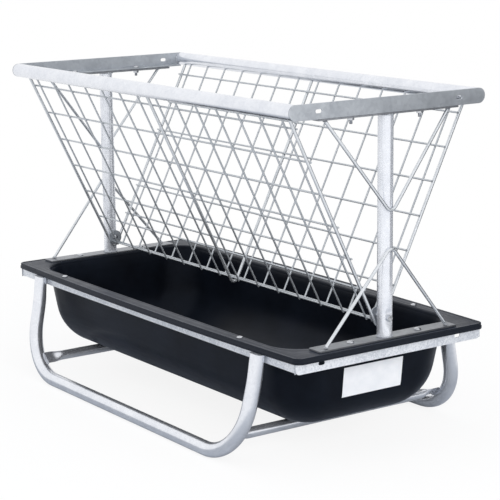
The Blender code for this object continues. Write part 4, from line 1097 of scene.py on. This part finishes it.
def fasteners():
    for level_name in ("rim", "foot", "top"):
        head, dome, radius, across, thickness = FASTENERS[level_name]
        bolts, nuts = [[f"{level_name}_{kind}_{end_name}_{side_name}" for _, end_name in ENDS
                        for _, side_name in SIDES] for kind in ("bolt", "nut")]
        low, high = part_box(bolts[0])
        seat = high.z - dome
        placed(f"{level_name}_bolts", bolt_shell(head, dome, radius, seat - low.z),
               [(*middle(node).xy, seat) for node in bolts], (0.0, 0.0, 0.0), bolts)
        placed(f"{level_name}_nuts", nut_shell(across, thickness, radius),
               [(*middle(node).xy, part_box(node)[1].z) for node in nuts], (0.0, 0.0, NUT_TURN), nuts)
    head, dome, radius, across, thickness = FASTENERS["basket"]
    for number, (end, end_name) in enumerate(ENDS):
        turn = (0.0, -end * pi / 2, 0.0)
        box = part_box(f"basket_bolt_{end_name}")
        seat = box[1 - number].x + end * dome
        placed(f"clamp_bolt_{end_name}", bolt_shell(head, dome, radius, abs(box[number].x - seat)),
               [(seat, 0.0, BASKET_BOLT_Z)], turn, [f"basket_bolt_{end_name}"])
        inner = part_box(f"basket_nut_{end_name}")[1 - number].x
        placed(f"clamp_nut_{end_name}", nut_shell(across, thickness, radius),
               [(inner, 0.0, BASKET_BOLT_Z)], turn, [f"basket_nut_{end_name}"])
        low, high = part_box(f"clamp_plate_{end_name}")
        place = upright_plane(end, (low.x + high.x) / 2) @ Matrix.Translation(Y * BASKET_BOLT_Z)
        disc = plate_shell(circle(CLAMP_PLATE_RADIUS, CLAMP_SIDES), [], high.x - low.x, place)
        piece(f"clamp_disc_{end_name}", [disc], STRIP, [f"clamp_plate_{end_name}"], PLATE_CREASE)


# Welds

TUBE_BEAD, ROD_BEAD = 0.0022, 0.0016
BEAD_PITCH_SHARE = 0.75
# How far a bead's line stands off the steel that it joins
POST_BEAD_OUT, ROUND_BEAD_OUT, CORNER_BEAD_OUT, CORNER_BEAD_ASIDE = 0.0008, 0.0006, 0.0004, 0.0002
CORNER_BEAD_DROP, CORNER_BEAD_SHORT = 0.002, 0.006
CRIMP_BEAD_SHARE = 0.45
RING_BEAD_HALF = 1.0
WIRE_BEAD_HALF = 0.003
NUGGET_SEED, TUBE_BEAD_SEED, ROD_BEAD_SEED = 3, 5, 6


def beads(name, paths, radius, seed):
    """Weld beads along several paths, as one piece."""
    points, edges = [], []
    for path in paths:
        first = len(points)
        points += path
        edges += [(first + k, first + k + 1) for k in range(len(path) - 1)]
    made = blank_object(points, edges)
    use_tree(made, BEADS, Pitch=radius * BEAD_PITCH_SHARE, Radius=radius, Seed=seed, Finish=WELD)
    declare(name, baked_mesh(made), WELD, crease=WELD_CREASE)


def ring_path(centre, first, second, radius, start=0.0, end=2 * pi, steps=28):
    return [centre + first * x + second * y for x, y in arc(0.0, 0.0, radius, start, end - start, steps)]


def end_beads(end, end_name):
    """Lines of the beads at one end: post on bars, end rail on long rails, ring angle and cross tube."""
    foot = Vector((end * POST_X, 0.0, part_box(f"foot_strap_{end_name}")[1].z + POST_BEAD_OUT))
    head = Vector((end * POST_X, 0.0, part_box(f"top_strap_{end_name}")[0].z - POST_BEAD_OUT))
    paths = [ring_path(centre, X, Y, TUBE_RADIUS + POST_BEAD_OUT) for centre in (foot, head)]
    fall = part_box(f"rail_{end_name}_end")[0].z - RAIL_TOP + CORNER_BEAD_SHORT
    corner_x = end * (END_RAIL_X - RAIL_THICKNESS - CORNER_BEAD_OUT)
    crimp_low, crimp_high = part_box(f"cross_tube_{end_name}")
    crimp = (crimp_low + crimp_high) / 2
    towards, flat = crimp_directions(end)
    for side, _ in SIDES:
        corner_y = side * (LONG_RAIL_Y + CORNER_BEAD_ASIDE)
        paths.append([Vector((corner_x, corner_y, RAIL_TOP - CORNER_BEAD_DROP + fall * k / 12))
                      for k in range(13)])
        centre = Vector((end * (RING_X - ANGLE_THICKNESS - CORNER_BEAD_OUT), side * TUBE_Y, RING_HEIGHT))
        paths.append(ring_path(centre, -Y * side, Z, TUBE_RADIUS + ROUND_BEAD_OUT, -RING_BEAD_HALF,
                               RING_BEAD_HALF, 20))
        edge = Vector((crimp.x, side * crimp_high.y, crimp.z)) + towards * (CRIMP_THICKNESS / 2)
        paths.append([edge + flat * (CRIMP_WIDTH * CRIMP_BEAD_SHARE * (k / 6 - 1)) for k in range(13)])
    return paths


def build():
    trough()
    decal()
    tube_lines, rod_lines = [], []
    for side, side_name in SIDES:
        long_rail(side, side_name)
        skid(side, side_name)
        top_tube(side, side_name)
        for spot in wire_panel(side, side_name):
            rod_lines.append([spot + X * along for along in (-WIRE_BEAD_HALF, 0.0, WIRE_BEAD_HALF)])
    for name in ("left", "middle", "right"):
        v_rod(name)
    for end, end_name in ENDS:
        end_rail(end, end_name)
        cross_tube(end, end_name)
        top_angle(end, end_name)
        post(end, end_name)
        tube_lines += end_beads(end, end_name)
        for level_name in ("foot", "top"):
            strap(end_name, level_name)
        for level_name in ("lower", "upper"):
            for foot in brace(end, end_name, level_name):
                rod_lines.append(ring_path(foot, X, Y, ROD_RADIUS + ROUND_BEAD_OUT, steps=12))
    fasteners()
    beads("tube_welds", tube_lines, TUBE_BEAD, TUBE_BEAD_SEED)
    beads("rod_welds", rod_lines, ROD_BEAD, ROD_BEAD_SEED)


build()

# Floor, light and camera

WHITE = (1.0, 1.0, 1.0, 1.0)
FLOOR_HALF = 60.0
# Half sizes of the feeder's shadow, and the distances outside of it over which the floor turns white
SHADOW_HALF = (0.70, 0.35, 0.0)
SEEN_FROM, SEEN_TO, SEEN_LEAST = 0.2, 1.6, 0.87
MIRRORED_FROM, MIRRORED_TO = 0.30, 1.10
WORLD_STRENGTH = 0.80
# Centre, width, height and tone of each card
CARDS = {"back_card": ((0.1, 1.9, 1.3), 2.2, 2.6, "#2A2C30"),
         "side_card": ((1.225, 0.77, 0.565), 0.63, 0.77, "#505358")}
# Place, size and power of each lamp
LAMPS = {"camera_soft_box": ((7.4, -2.4, 3.2), (6.0, 4.4), 400.0),
         "front_soft_box": ((0.0, -4.6, 4.2), (5.0, 3.4), 30.0),
         "left_soft_box": ((-5.0, -2.2, 3.2), (3.6, 3.4), 30.0)}
LAMP_TARGET = Vector((0.0, 0.0, 0.5))
CAMERA_PLACE = (4.1570, -2.8616, 1.49657)
CAMERA_YAW, CAMERA_PITCH, CAMERA_ROLL = radians(54.82), radians(11.61), radians(-0.605)
FOCAL_PIXELS, PHOTO_PIXELS = 1690.3, 500
SENSOR_WIDTH = 36.0


def sheet(name, corners, finish):
    """One flat face, for the floor or a card."""
    mesh = bpy.data.meshes.new(name)
    mesh.from_pydata(corners, [], [(0, 1, 2, 3)])
    mesh.materials.append(finish)
    return put(name, mesh)


def studio_floor():
    """Large pale floor, plain white to the camera but for a faint shadow round the feeder."""
    made, tree, _ = new_material("pale_floor")
    tree.nodes.clear()
    path = add(tree, "LightPath").outputs
    direct = maths(tree, "MAXIMUM", path["Is Camera Ray"], path["Is Transmission Ray"])
    tone = add(tree, "Mix", {"data_type": "RGBA"}, in0=direct, in6=linear("#B6BAC0"), in7=WHITE).outputs[2]
    matt = add(tree, "BsdfDiffuse", Color=tone)
    glow = add(tree, "Emission", Color=WHITE, Strength=1.0)
    across = maths(tree, "ABSOLUTE", object_place(tree), kind="VectorMath")
    past = maths(tree, "SUBTRACT", across, SHADOW_HALF, kind="VectorMath")
    outside = maths(tree, "MAXIMUM", past, (0.0, 0.0, 0.0), kind="VectorMath")
    away = maths(tree, "LENGTH", outside, kind="VectorMath").outputs["Value"]
    seen = maths(tree, "MULTIPLY", direct, ranged(tree, away, SEEN_FROM, SEEN_TO, SEEN_LEAST, 1.0))
    in_metal = ranged(tree, away, MIRRORED_FROM, MIRRORED_TO, 0.0, 1.0)
    share = maths(tree, "MULTIPLY_ADD", path["Is Glossy Ray"], in_metal, seen)
    mixed = add(tree, "MixShader", in0=share, in1=matt, in2=glow)
    add(tree, "OutputMaterial", Surface=mixed)
    floor = sheet("studio_floor", [(x, y, 0.0) for x, y in rectangle(FLOOR_HALF, FLOOR_HALF)], made)


def dark_card(name, centre, width, height, tone):
    """Upright dark card that only reflections see: it draws the dark edge along tubes and rods."""
    facing = Vector((-centre[0], -centre[1], 0.0)).normalized()
    aside = Vector((-facing.y, facing.x, 0.0)) * (width / 2)
    base = Vector((centre[0], centre[1], centre[2] - height / 2))
    top = base + Vector((0.0, 0.0, height))
    made, tree, shader = new_material(name)
    feed(tree, shader, Base_Color=linear(tone), Roughness=0.9)
    card = sheet(name, [base - aside, base + aside, top + aside, top - aside], made)
    for ray in ("camera", "diffuse", "shadow", "transmission"):
        setattr(card, f"visible_{ray}", False)


def studio_world():
    """Soft even light all round, behind a background that is plain white where it is seen directly."""
    world = bpy.data.worlds.new("studio")
    world.use_nodes = True
    tree = world.node_tree
    tree.nodes.clear()
    path = add(tree, "LightPath").outputs
    direct = maths(tree, "MAXIMUM", path["Is Camera Ray"], path["Is Glossy Ray"])
    direct = maths(tree, "MAXIMUM", direct, path["Is Transmission Ray"])
    soft = add(tree, "Background", Color=linear("#F4F6FA"), Strength=WORLD_STRENGTH)
    plain = add(tree, "Background", Color=WHITE, Strength=1.0)
    mixed = add(tree, "MixShader", in0=direct, in1=soft, in2=plain)
    add(tree, "OutputWorld", Surface=mixed)
    bpy.context.scene.world = world


def lamp(name, place, size, power):
    """Soft box lamp that points at the middle of the feeder and isn't mirrored."""
    data = bpy.data.lights.new(name, "AREA")
    data.shape = "RECTANGLE"
    data.size, data.size_y = size
    data.energy = power
    made = put(name, data)
    made.location = place
    made.rotation_euler = (LAMP_TARGET - Vector(place)).to_track_quat("-Z", "Y").to_euler()
    made.visible_glossy = False


def camera():
    """Camera at the photograph's place."""
    yaw, pitch, roll = CAMERA_YAW, CAMERA_PITCH, CAMERA_ROLL
    forward = Vector((-sin(yaw) * cos(pitch), cos(yaw) * cos(pitch), -sin(pitch)))
    right = Vector((cos(yaw), sin(yaw), 0.0))
    up = right.cross(forward)
    across = right * cos(roll) + up * sin(roll)
    upright = up * cos(roll) - right * sin(roll)
    data = bpy.data.cameras.new("camera")
    data.sensor_width = SENSOR_WIDTH
    data.lens = FOCAL_PIXELS / PHOTO_PIXELS * SENSOR_WIDTH
    data.clip_end = 200.0
    made = put("camera", data)
    turn = Matrix((across, upright, -forward)).transposed().to_4x4()
    made.matrix_world = Matrix.Translation(CAMERA_PLACE) @ turn
    bpy.context.scene.camera = made


studio_floor()
studio_world()
for name, values in CARDS.items():
    dark_card(name, *values)
for name, values in LAMPS.items():
    lamp(name, *values)
camera()
bpy.context.scene.view_settings.view_transform = "Standard"
